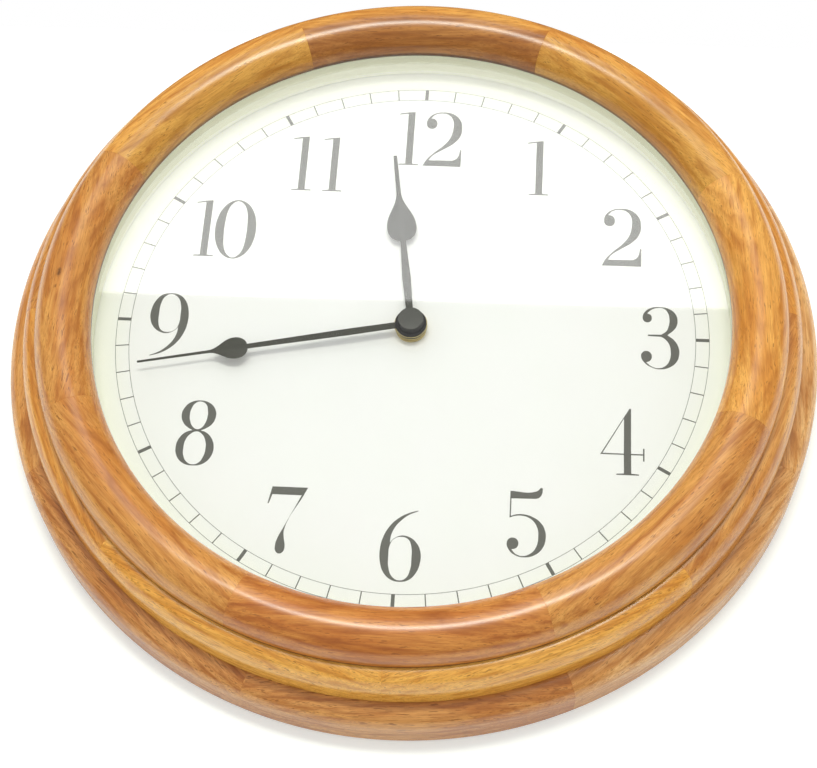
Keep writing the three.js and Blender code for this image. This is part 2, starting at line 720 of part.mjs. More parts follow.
function addTrain(parent) {
  const pinionBack = intermediateLevel - pinionOverrun;
  const pinionFront = intermediateLevel + wheelThickness + pinionOverrun;
  const rotorGeometry = carve([
    toothed(rotorPinion, pinionBack, pinionFront),
    rod(magnetRadius, magnetLevel, magnetLevel + magnetThickness, roundSteps),
    rod(pivotRadius, pivotBack, pivotFront),
  ]);
  piece(parent, 'rotor', rotorGeometry, finishes.magnet, at(rotorAxis));
  addArbor(
    parent,
    'intermediate_wheel',
    intermediateGear,
    intermediateLevel,
    intermediatePinion,
    secondsLevel,
    pivotFront,
  );
  const socketTop = centreLevel - seatGap - arborCollarThickness + arborSocketDepth - seatGap;
  addArbor(parent, 'seconds_wheel', secondsGear, secondsLevel, secondsPinion, thirdLevel, socketTop);
  addArbor(parent, 'third_wheel', thirdGear, thirdLevel, thirdPinion, centreLevel, pivotFront);
  const centreFront = centreLevel + wheelThickness;
  const centreBore = minuteArborRadius + pivotClearance;
  const centreWheel = carve(
    [toothed(centreGear, centreLevel, centreFront)],
    [rod(centreBore, centreLevel - cutOverrun, centreFront + cutOverrun, roundSteps)],
  );
  piece(parent, 'centre_wheel', centreWheel, finishes.whitePlastic, at(handAxis));
}

function addMotionWork(parent) {
  const collarBack = centreLevel - seatGap - arborCollarThickness;
  const arborTop = capBack + capSocketDepth;
  const arbor = carve([
    rod(minuteArborRadius, collarBack, arborTop, roundSteps),
    rod(arborCollarRadius, collarBack, collarBack + arborCollarThickness, roundSteps),
    toothed(cannonPinion, minuteLevel - pinionOverrun, minuteLevel + wheelThickness + pinionOverrun),
  ], [rod(arborSocketRadius, collarBack - cutOverrun, collarBack + arborSocketDepth)]);
  piece(parent, 'minute_arbor', arbor, finishes.brass, at(handAxis));

  const minutePinionFront = hourLevel + wheelThickness + pinionOverrun;
  const minuteWheel = carve(
    [
      toothed(minuteGear, minuteLevel, minuteLevel + wheelThickness),
      toothed(minutePinion, minuteLevel, minutePinionFront),
    ],
    [rod(minutePostRadius + pivotClearance, minuteLevel - cutOverrun, minutePinionFront + cutOverrun)],
  );
  piece(parent, 'minute_wheel', minuteWheel, finishes.whitePlastic, at(minuteAxis));

  const hourWheel = carve([
    toothed(hourGear, hourLevel, hourLevel + wheelThickness),
    rod(hourTubeRadius, hourLevel, hourBossFront + seatGap, roundSteps),
  ], [rod(hourTubeBore, hourLevel - cutOverrun, hourBossFront + cutOverrun, roundSteps)]);
  piece(parent, 'hour_wheel', hourWheel, finishes.whitePlastic, at(handAxis));

  const shaftFront = minuteLevel + wheelThickness + pinionOverrun;
  const knob = carve([
    plate(knobOutline(), -seatGap - knobHeight, -seatGap),
    rod(knobShaftRadius, -seatGap - rootOverlap, shaftFront, roundSteps),
    toothed(knobGear, minuteLevel, shaftFront),
    rod(knobPivotRadius, shaftFront - rootOverlap, shaftFront + knobPivotLength),
  ]);
  piece(parent, 'setting_knob', knob, finishes.blackPlastic, at(knobAxis));
}

// A round knob with shallow ridges.
function knobOutline() {
  const points = [];
  for (let i = 0; i < 2 * knobRidges; i += 1) {
    points.push(polar(knobRadius - (i % 2) * knobRidgeDepth, i * 180 / knobRidges));
  }
  return new THREE.Shape(points);
}

// Movement case, cover and train plate

function addCase(parent) {
  const coverOpening = box(
    new THREE.Vector3(-chamberHalf - coverLedge, chamberBottom - partitionWall / 2, -cutOverrun),
    new THREE.Vector3(chamberHalf + coverLedge, chamberTop + coverLedge, coverThickness + seatGap),
  );
  const chamber = box(
    new THREE.Vector3(-chamberHalf, chamberBottom, -cutOverrun),
    new THREE.Vector3(chamberHalf, chamberTop, chamberFront),
  );
  const bay = box(
    new THREE.Vector3(-chamberHalf, bayBottom, -cutOverrun),
    new THREE.Vector3(chamberHalf, bayTop, chamberFront),
  );
  const outline = roundedRectangle(2 * (chamberHalf + caseSideWall), caseTop - caseBottom, caseCornerRadius);
  const block = plate(outline, 0, caseDepth).translate(0, (caseTop + caseBottom) / 2, 0);
  const bushBore = bushOuterRadius + seatGap;
  const bushHole = rod(bushBore, chamberFront - cutOverrun, caseDepth + cutOverrun, roundSteps);
  const shell = carve([block], [coverOpening, chamber, bay, bushHole]);
  const posts = postPlaces.map((place) => moved(
    rod(casePostRadius, trainPlateFront + seatGap, chamberFront + rootOverlap),
    place,
  ));
  const knobPivotBack = minuteLevel + wheelThickness + pinionOverrun + seatGap;
  const knobBoss = moved(rod(postRadius, knobPivotBack, chamberFront + rootOverlap), knobAxis);
  const knobHole = moved(
    rod(knobPivotRadius + pivotClearance, knobPivotBack - cutOverrun, knobPivotBack + knobPivotLength),
    knobAxis,
  );
  piece(parent, 'movement_case', carve([shell, ...posts, knobBoss], [knobHole]), finishes.blackPlastic);
}

// The cover over the wheels, with a pivot hole for each arbor and an opening for the knob's shaft.
function addCover(parent) {
  const edge = coverLedge - seatGap;
  const cover = box(
    new THREE.Vector3(-chamberHalf - edge, chamberBottom - partitionWall / 2 + seatGap, 0),
    new THREE.Vector3(chamberHalf + edge, chamberTop + edge, coverThickness),
  );
  const bosses = [[thirdAxis, thirdLevel], [handAxis, secondsLevel]].map(([axis, level]) => (
    moved(rod(pivotBossRadius, coverThickness - rootOverlap, level - seatGap), axis)
  ));
  const holes = [rotorAxis, intermediateAxis, handAxis, thirdAxis].map((axis) => (
    moved(rod(pivotRadius + pivotClearance, coverThickness - pivotDepth, thirdLevel), axis)
  ));
  const knobOpening = moved(
    rod(knobShaftRadius + pivotClearance, -cutOverrun, coverThickness + cutOverrun, roundSteps),
    knobAxis,
  );
  piece(parent, 'movement_cover', carve([cover, ...bosses], [...holes, knobOpening]), finishes.blackPlastic);
}

function addTrainPlate(parent) {
  const blank = box(
    new THREE.Vector3(seatGap - chamberHalf, chamberBottom + seatGap, trainPlateLevel),
    new THREE.Vector3(chamberHalf - seatGap, chamberTop - seatGap, trainPlateFront),
  );
  const statorTopLevel = statorLevel + statorThickness + seatGap;
  const circuitTopLevel = circuitLevel + circuitThickness + seatGap;
  const statorPosts = [statorBottom + statorArmWidth / 2, statorTop - statorArmWidth / 2].map((y) => moved(
    rod(postRadius, statorTopLevel, trainPlateLevel + rootOverlap),
    new THREE.Vector2(rotorAxis.x, y),
  ));
  const circuit = circuitCentre();
  const circuitPosts = [-1, 1].map((side) => moved(
    rod(postRadius, circuitTopLevel, trainPlateLevel + rootOverlap),
    new THREE.Vector2(circuit.x + side * circuitWidth / 4, circuit.y),
  ));
  const minutePost = moved(
    rod(minutePostRadius, trainPlateFront - rootOverlap, hourLevel + wheelThickness + pinionOverrun),
    minuteAxis,
  );
  const through = (radius, axis) => moved(
    rod(radius + pivotClearance, trainPlateLevel - cutOverrun, trainPlateFront + cutOverrun, roundSteps),
    axis,
  );
  const plateGeometry = carve([blank, ...statorPosts, ...circuitPosts, minutePost], [
    through(minuteArborRadius, handAxis), through(knobShaftRadius, knobAxis),
    through(pivotRadius, rotorAxis), through(pivotRadius, intermediateAxis), through(pivotRadius, thirdAxis),
  ]);
  piece(parent, 'train_plate', plateGeometry, finishes.whitePlastic);
}

// Motor and circuit

function circuitCentre() {
  return new THREE.Vector2(
    circuitWidth / 2 + seatGap - chamberHalf,
    chamberTop - seatGap - circuitHeight / 2,
  );
}

function addMotor(parent) {
  const armEnd = coilX + coreWidth / 2;
  const legLeft = rotorAxis.x - statorLegWidth / 2;
  const legRight = rotorAxis.x + statorLegWidth / 2;
  const statorFront = statorLevel + statorThickness;
  const bar = (left, bottom, right, top) => box(
    new THREE.Vector3(left, bottom, statorLevel),
    new THREE.Vector3(right, top, statorFront),
  );
  const stator = carve([
    bar(legLeft, statorBottom, legRight, statorTop),
    bar(legLeft, statorBottom, armEnd, statorBottom + statorArmWidth),
    bar(legLeft, statorTop - statorArmWidth, armEnd, statorTop),
    moved(rod(statorEyeRadius, statorLevel, statorFront, roundSteps), rotorAxis),
  ], [
    moved(rod(statorHoleRadius, statorLevel - cutOverrun, statorFront + cutOverrun, roundSteps), rotorAxis),
  ]);
  piece(parent, 'stator', stator, finishes.steel);

  const coreFront = statorLevel - seatGap;
  const coreBack = coreFront - coreThickness;
  const coilMiddle = (statorBottom + statorTop) / 2;
  const along = (radius, length, centre) => new THREE.CylinderGeometry(radius, radius, length, roundSteps)
    .translate(0, centre, 0);
  const flangeCentre = (coilLength - coilFlangeThickness) / 2;
  const coil = carve([
    box(
      new THREE.Vector3(-coreWidth / 2, statorBottom - coilMiddle, -coreThickness / 2),
      new THREE.Vector3(coreWidth / 2, statorTop - coilMiddle, coreThickness / 2),
    ),
    along(coilRadius - coilWindingInset, coilLength, 0),
    along(coilRadius, coilFlangeThickness, flangeCentre),
    along(coilRadius, coilFlangeThickness, -flangeCentre),
  ]);
  const coilPlace = new THREE.Vector3(coilX, coilMiddle, (coreBack + coreFront) / 2);
  piece(parent, 'coil', coil, finishes.copper, coilPlace);

  const centre = circuitCentre();
  const board = new THREE.BoxGeometry(circuitWidth, circuitHeight, circuitThickness);
  const boardPlace = new THREE.Vector3(centre.x, centre.y, circuitLevel + circuitThickness / 2);
  piece(parent, 'circuit_board', board, finishes.circuit, boardPlace);
  const can = new THREE.CylinderGeometry(crystalRadius, crystalRadius, crystalLength, screwSteps);
  const canLevel = circuitLevel - seatGap - crystalRadius;
  const canPlace = new THREE.Vector3(centre.x - circuitWidth / 4, centre.y, canLevel);
  piece(parent, 'quartz_crystal', can.rotateZ(Math.PI / 2), finishes.steel, canPlace);
}

// Battery and contacts

function addBattery(parent) {
  const bayCentre = (bayBottom + bayTop) / 2;
  const r = batteryCornerRadius;
  const cell = spun([
    new THREE.Vector2(0, 0),
    new THREE.Vector2(batteryRadius - r, 0),
    new THREE.Vector2(batteryRadius, r),
    new THREE.Vector2(batteryRadius, batteryLength - r),
    new THREE.Vector2(batteryRadius - r, batteryLength),
    new THREE.Vector2(batteryNubRadius, batteryLength),
    new THREE.Vector2(batteryNubRadius, cellLength),
    new THREE.Vector2(0, cellLength),
  ], batterySteps);
  const plusFace = chamberHalf - seatGap - contactThickness;
  const cellStart = plusFace - seatGap - cellLength;
  cell.rotateY(Math.PI / 2);
  piece(parent, 'battery', cell, finishes.wrapper, new THREE.Vector3(cellStart, bayCentre, batteryLevel));

  const leaf = (x) => box(
    new THREE.Vector3(x, bayCentre - contactHeight / 2, batteryLevel - contactDepth / 2),
    new THREE.Vector3(x + contactThickness, bayCentre + contactHeight / 2, batteryLevel + contactDepth / 2),
  );
  piece(parent, 'contact_plus', leaf(plusFace), finishes.steel);
  const minusBack = seatGap - chamberHalf;
  const springHeight = cellStart - seatGap - (minusBack + contactThickness);
  const coilSpring = new THREE.CylinderGeometry(
    springRadius / 2,
    springRadius,
    springHeight + rootOverlap,
    screwSteps,
  ).rotateZ(-Math.PI / 2).translate(
    minusBack + contactThickness + (springHeight - rootOverlap) / 2,
    bayCentre,
    batteryLevel,
  );
  piece(parent, 'contact_minus', carve([leaf(minusBack), coilSpring]), finishes.steel);
}

// Bush, washers and nut

function addBush(parent) {
  const flangeFront = chamberFront - seatGap;
  const flangeBack = flangeFront - bushFlangeThickness;
  const bush = ring([
    new THREE.Vector2(bushBoreRadius, flangeBack),
    new THREE.Vector2(bushFlangeRadius, flangeBack),
    new THREE.Vector2(bushFlangeRadius, flangeFront),
    new THREE.Vector2(bushOuterRadius, flangeFront),
    new THREE.Vector2(bushOuterRadius, bushTop),
    new THREE.Vector2(bushBoreRadius, bushTop),
  ], roundSteps);
  piece(parent, 'threaded_bush', bush, finishes.brass);
  const bore = bushOuterRadius + seatGap;
  const padBack = caseDepth + seatGap;
  const pad = washer(rubberWasherRadius, bore, padBack, padBack + rubberWasherThickness);
  piece(parent, 'rubber_washer', pad, finishes.rubber);
  const washerBack = dialLevel + seatGap;
  const washerFront = washerBack + washerThickness;
  piece(parent, 'brass_washer', washer(washerRadius, bore, washerBack, washerFront), finishes.brass);
  const nutBack = washerFront + seatGap;
  const nutSides = 6;
  const nut = carve(
    [rod(nutAcrossCorners / 2, nutBack, nutBack + nutThickness, nutSides)],
    [rod(bore, nutBack - cutOverrun, nutBack + nutThickness + cutOverrun, roundSteps)],
  );
  piece(parent, 'hex_nut', nut, finishes.brass);
}

// Hands

// Flat outline of a spade hand that points along +y.
function handShape(hand) {
  const reach = dialRadius - hand.tipInset;
  const [neck, bulb, root, waist] = [hand.neckShare, hand.bulbShare, hand.rootShare, hand.waistShare]
    .map((share) => share * reach);
  const edge = (width, along) => new THREE.Vector2(width / 2, along);
  const roundEnd = new THREE.CubicBezierCurve(
    edge(hand.rootWidth, root),
    edge(hand.bulbWidth * bulbRoundShare, root),
    edge(hand.bulbWidth, THREE.MathUtils.lerp(bulb, root, bulbRoundShare)),
    edge(hand.bulbWidth, bulb),
  );
  const shoulder = new THREE.CubicBezierCurve(
    edge(hand.bulbWidth, bulb),
    edge(hand.bulbWidth, THREE.MathUtils.lerp(bulb, neck, bulbTaperShare)),
    edge(hand.neckWidth, THREE.MathUtils.lerp(neck, bulb, bulbTaperShare)),
    edge(hand.neckWidth, neck),
  );
  const right = [
    edge(hand.hubWidth, 0),
    edge(hand.waistWidth, waist),
    ...roundEnd.getPoints(handArcSteps),
    ...shoulder.getPoints(handArcSteps).slice(1),
    edge(hand.tipWidth, reach),
  ];
  const left = right.map((point) => new THREE.Vector2(-point.x, point.y)).reverse();
  return new THREE.Shape([...right, ...left]);
}

function addHand(parent, name, hand, bore, bossBack, bossThickness) {
  const sheetBack = bossBack + (bossThickness - handThickness) / 2;
  const geometry = carve([
    plate(handShape(hand), sheetBack, sheetBack + handThickness),
    rod(handBossRadius, bossBack, bossBack + bossThickness, roundSteps),
  ], [rod(bore, bossBack - cutOverrun, bossBack + bossThickness + cutOverrun, roundSteps)]);
  const mesh = piece(parent, name, geometry, finishes.blackPaint);
  mesh.rotation.z = -THREE.MathUtils.degToRad(hand.direction);
}

function addHands(parent) {
  const socketRadius = minuteArborRadius + seatGap;
  addHand(parent, 'hour_hand', hourHand, hourTubeRadius + seatGap, hourBossBack, hourBossThickness);
  addHand(parent, 'minute_hand', minuteHand, socketRadius, minuteBossBack, minuteBossThickness);
  const socketTop = capBack + capSocketDepth + seatGap;
  const edge = arc(
    new THREE.Vector2(capRadius - capEdgeRadius, capFront - capEdgeRadius),
    new THREE.Vector2(capEdgeRadius, capEdgeRadius),
    0,
    Math.PI / 2,
    cornerArcSteps,
  );
  const cap = spun([
    new THREE.Vector2(0, socketTop),
    new THREE.Vector2(socketRadius, socketTop),
    new THREE.Vector2(socketRadius, capBack),
    new THREE.Vector2(capRadius, capBack),
    ...edge,
    new THREE.Vector2(0, capFront),
  ], roundSteps);
  piece(parent, 'hub_cap', cap, finishes.blackPlastic);
}

const clock = new THREE.Group();
addRing(clock);
addFace(clock);
addHanger(clock);
const movement = new THREE.Group();
movement.position.z = caseBack;
addCase(movement);
addCover(movement);
addTrainPlate(movement);
addBush(movement);
addTrain(movement);
addMotionWork(movement);
addMotor(movement);
addBattery(movement);
addHands(movement);
clock.add(movement);
clock.rotation.x = Math.PI / 2;
clock.position.z = -hangerHeight;

const model = new THREE.Group();
model.add(clock);
export default model;
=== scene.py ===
"""Blender scene of a quartz wall clock with a turned oak ring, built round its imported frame.

Lengths are in millimetres and in the clock's own terms: an angle in degrees clockwise from 12, a
radius from the hands' axis and a height over the wall. `spot` and `place` turn them into metres in
the frame's axes, where X points to 3 o'clock, Z to 12 o'clock and Y into the wall.
"""
import logging
import math
from collections.abc import Iterable, Sequence
from dataclasses import dataclass, field
from enum import Enum

import bmesh
import bpy
from mathutils import Matrix, Vector


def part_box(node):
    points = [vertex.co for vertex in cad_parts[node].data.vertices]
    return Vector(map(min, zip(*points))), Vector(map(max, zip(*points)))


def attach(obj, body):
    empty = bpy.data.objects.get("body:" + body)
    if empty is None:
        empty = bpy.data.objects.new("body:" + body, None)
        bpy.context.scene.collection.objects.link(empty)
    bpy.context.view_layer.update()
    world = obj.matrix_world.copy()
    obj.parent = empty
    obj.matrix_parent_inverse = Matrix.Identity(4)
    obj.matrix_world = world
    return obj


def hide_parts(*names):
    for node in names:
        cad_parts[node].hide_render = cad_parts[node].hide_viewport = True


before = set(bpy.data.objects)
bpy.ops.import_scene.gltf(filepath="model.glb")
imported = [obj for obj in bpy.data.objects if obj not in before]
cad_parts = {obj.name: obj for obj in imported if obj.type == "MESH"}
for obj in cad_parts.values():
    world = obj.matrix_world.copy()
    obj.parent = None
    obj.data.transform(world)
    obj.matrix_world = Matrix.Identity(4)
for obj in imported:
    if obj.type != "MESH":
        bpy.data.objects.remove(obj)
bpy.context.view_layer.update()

LOG = logging.getLogger("wall_clock")
MM = 0.001
HANDS_AXIS = sum(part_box("dial"), Vector()) / 2 * Vector((1, 0, 1))
SMOOTH_ANGLE = math.radians(32)
OVERCUT = 1.0  # how far a cutting solid stands out of what it cuts

Pair = tuple[float, float]
Triple = tuple[float, float, float]
Colour = Triple
Outline = list[tuple[float, float, bool]]  # across, up, and whether the point is a corner


def spot(angle: float, radius: float, height: float) -> Vector:
    """Turn a clock angle, a radius and a height into a point in metres, in the frame's axes."""
    turn = math.radians(angle)
    return place(radius * math.sin(turn), radius * math.cos(turn), height)


def place(across: float, up: float, height: float) -> Vector:
    """Turn a place towards 3, towards 12 and over the wall into a point in the frame's axes."""
    return Vector((across, -height, up)) * MM + Vector((HANDS_AXIS.x, 0, HANDS_AXIS.z))


def linear(colour: Colour) -> tuple[float, float, float, float]:
    """Turn a display colour of 0 to 255 into the linear colour and alpha of a socket."""
    shares = [channel / 255 for channel in colour]
    return (*[s / 12.92 if s <= 0.04045 else ((s + 0.055) / 1.055) ** 2.4 for s in shares], 1.0)


def shaded(colour: Colour, share: float) -> Colour:
    """Give a display colour times a share, held at full white."""
    return tuple(min(255.0, channel * share) for channel in colour)


class Graph:
    """Node tree of one material or of the surroundings, with short calls for what they share."""

    def __init__(self, name: str, room: bool = False) -> None:
        """Start an empty material or empty surroundings.

        Args:
            name: its name.
            room: whether it is the surroundings, and not a material.
        """
        self.owner = (bpy.data.worlds if room else bpy.data.materials).new(name)
        self.owner.use_nodes = True
        self.tree = self.owner.node_tree
        self.tree.nodes.clear()
        self.output = self.node("ShaderNodeOutputWorld" if room else "ShaderNodeOutputMaterial")

    def node(self, kind: str, **settings: object) -> bpy.types.Node:
        """Add a node.

        Args:
            kind: Blender's name of the node's type.
            **settings: properties to set on it.

        Returns:
            The new node.
        """
        made = self.tree.nodes.new(kind)
        for key, value in settings.items():
            setattr(made, key, value)
        return made

    def feed(self, socket: bpy.types.NodeSocket, value: object) -> None:
        """Link a socket to another socket, or set it to a plain value.

        Args:
            socket: the input to fill.
            value: an output socket, a number, or a vector or colour.
        """
        if isinstance(value, bpy.types.NodeSocket):
            self.tree.links.new(value, socket)
        else:
            socket.default_value = value

    def surface(self, shader: bpy.types.NodeSocket) -> bpy.types.Material | bpy.types.World:
        """Link a shader to the output and return the material or the surroundings."""
        self.feed(self.output.inputs["Surface"], shader)
        return self.owner

    def shader(self, kind: str, **inputs: object) -> object:
        """Add a shader.

        Args:
            kind: Blender's name of the node's type.
            **inputs: values or sockets for its inputs, with underscores for spaces.

        Returns:
            The shader's socket.
        """
        made = self.node(kind)
        for name, value in inputs.items():
            self.feed(made.inputs[name.replace("_", " ")], value)
        return made.outputs[0]

    def blend(self, share: object, first: object, second: object) -> object:
        """Mix two shaders.

        Args:
            share: how much of the second one shows.
            first: a shader's socket.
            second: another.

        Returns:
            The mixed shader's socket.
        """
        mixer = self.node("ShaderNodeMixShader")
        for socket, value in zip(mixer.inputs, (share, first, second)):
            self.feed(socket, value)
        return mixer.outputs[0]

    def place_mm(self, turn: Triple = (0, 0, 0), stretch: Triple = (1, 1, 1)) -> object:
        """Give the object's own place in millimetres from the hands' axis.

        Args:
            turn: rotation in radians about the frame's axes.
            stretch: share of each turned axis, below 1 to draw a pattern out along it.

        Returns:
            A vector socket.
        """
        coordinates = self.node("ShaderNodeTexCoord").outputs["Object"]
        centred = self.vector("SUBTRACT", coordinates, tuple(HANDS_AXIS))
        turned = self.node("ShaderNodeMapping", vector_type="POINT")
        self.feed(turned.inputs["Vector"], centred)
        turned.inputs["Rotation"].default_value = turn
        turned.inputs["Scale"].default_value = (1 / MM, 1 / MM, 1 / MM)
        return self.vector("MULTIPLY", turned.outputs[0], stretch)

    def vector(self, operation: str, first: object, second: object = (0, 0, 0)) -> object:
        """Do arithmetic on vectors.

        Args:
            operation: Blender's name of it.
            first: a socket or a plain vector.
            second: another.

        Returns:
            The result's socket.
        """
        maths = self.node("ShaderNodeVectorMath", operation=operation)
        self.feed(maths.inputs[0], first)
        self.feed(maths.inputs[1], second)
        return maths.outputs["Value" if operation in ("LENGTH", "DOT_PRODUCT") else "Vector"]

    def maths(self, operation: str, first: object, second: object = 0.0) -> object:
        """Do arithmetic on numbers.

        Args:
            operation: Blender's name of it.
            first: a socket or a plain number.
            second: another.

        Returns:
            The result's socket.
        """
        node = self.node("ShaderNodeMath", operation=operation)
        self.feed(node.inputs[0], first)
        self.feed(node.inputs[1], second)
        return node.outputs[0]

    def apart(self, vector: object) -> tuple[object, object, object]:
        """Give the sockets of a vector's three parts.

        Args:
            vector: a vector socket.

        Returns:
            Three value sockets.
        """
        split = self.node("ShaderNodeSeparateXYZ")
        self.feed(split.inputs[0], vector)
        return tuple(split.outputs)

    def noise(self, vector: object, scale: float, detail: float = 2, roughness: float = 0.5,
              distortion: float = 0) -> object:
        """Add fractal noise.

        Args:
            vector: place to read it at.
            scale: its features to a unit of the place.
            detail: number of octaves.
            roughness: strength of the finer octaves.
            distortion: how much it's warped.

        Returns:
            A socket of about 0.3 to 0.7, 0.5 on the average.
        """
        texture = self.node("ShaderNodeTexNoise")
        self.feed(texture.inputs["Vector"], vector)
        for name, value in (("Scale", scale), ("Detail", detail), ("Roughness", roughness),
                            ("Distortion", distortion)):
            texture.inputs[name].default_value = value
        return texture.outputs[0]

    def cells(self, vector: object, scale: float, feature: str = "F1") -> bpy.types.Node:
        """Add a Voronoi texture.

        Args:
            vector: place to read it at.
            scale: cells to a unit of the place.
            feature: Blender's name of what it measures.

        Returns:
            The texture's node.
        """
        texture = self.node("ShaderNodeTexVoronoi", feature=feature)
        self.feed(texture.inputs["Vector"], vector)
        texture.inputs["Scale"].default_value = scale
        return texture

    def span(self, value: object, low: float, high: float, start: float = 0,
             end: float = 1) -> object:
        """Map a value from one span to another and hold it at the ends.

        Args:
            value: a value socket.
            low: where the first span starts.
            high: where it ends.
            start: what the second span starts at.
            end: what it ends at.

        Returns:
            A value socket.
        """
        mapped = self.node("ShaderNodeMapRange", clamp=True)
        for name, part in (("Value", value), ("From Min", low), ("From Max", high),
                           ("To Min", start), ("To Max", end)):
            self.feed(mapped.inputs[name], part)
        return mapped.outputs[0]

    def mix(self, share: object, first: object, second: object, blend: str = "MIX") -> object:
        """Mix two colours.

        Args:
            share: how much of the second colour shows.
            first: a colour socket or a display colour.
            second: another.
            blend: Blender's name of the way they mix.

        Returns:
            A colour socket.
        """
        mixer = self.node("ShaderNodeMix", data_type="RGBA", blend_type=blend)
        self.feed(mixer.inputs[0], share)
        for socket, colour in ((mixer.inputs[6], first), (mixer.inputs[7], second)):
            self.feed(socket, linear(colour) if isinstance(colour, tuple) else colour)
        return mixer.outputs[2]

    def bump(self, height: object, depth: float, strength: float = 1) -> object:
        """Turn a height into a normal.

        Args:
            height: a value socket of 0 to 1.
            depth: millimetres from 0 to 1.
            strength: share of the effect.

        Returns:
            A vector socket.
        """
        node = self.node("ShaderNodeBump")
        self.feed(node.inputs["Height"], height)
        node.inputs["Distance"].default_value = depth * MM
        node.inputs["Strength"].default_value = strength
        return node.outputs[0]

    def solid(self, colour: object, roughness: object, normal: object = None,
              **plain: float) -> bpy.types.Material:
        """Finish the material with one Principled shader.

        Args:
            colour: a colour socket or a display colour.
            roughness: a value socket or a number.
            normal: a socket of bumps, if there are any.
            **plain: other sockets' plain values, with underscores for spaces.

        Returns:
            The material.
        """
        if isinstance(colour, tuple):
            colour = linear(colour)
        inputs = {"Base_Color": colour, "Roughness": roughness}
        if normal is not None:
            inputs["Normal"] = normal
        return self.surface(self.shader("ShaderNodeBsdfPrincipled", **inputs, **plain))


class Finish:
    """A surface finish. Its record slot is a class value, and `dress` builds its material."""

    slot = ""
    made: dict["Finish", bpy.types.Material] = {}

    def dress(self, graph: Graph) -> bpy.types.Material:
        """Build the finish in its material's empty graph and return the material."""
        raise NotImplementedError

    def material(self) -> bpy.types.Material:
        """Give this finish's material, built once.

        Returns:
            The material, which every piece of this finish shares.
        """
        if self not in Finish.made:
            Finish.made[self] = self.dress(Graph(type(self).__name__.lower()))
        return Finish.made[self]


class Tone(Enum):
    """Colour of one board of oak under its lacquer: pale wood, deep wood and dark streak."""

    GOLDEN = ((248, 186, 84), (226, 154, 53), (176, 105, 24))
    HONEY = ((237, 175, 83), (215, 143, 54), (167, 96, 24))
    BUFF = ((228, 168, 90), (207, 137, 60), (157, 88, 27))
    TAWNY = ((219, 163, 70), (199, 135, 43), (155, 92, 19))
    AMBER = ((219, 157, 77), (199, 128, 51), (151, 82, 23))
    RUST = ((214, 143, 64), (191, 114, 42), (142, 70, 19))
    RUSSET = ((220, 158, 86), (196, 126, 57), (145, 78, 26))
    STRAW = ((234, 184, 118), (212, 150, 79), (160, 95, 36))
    BROWN = ((194, 132, 62), (170, 105, 38), (123, 67, 19))


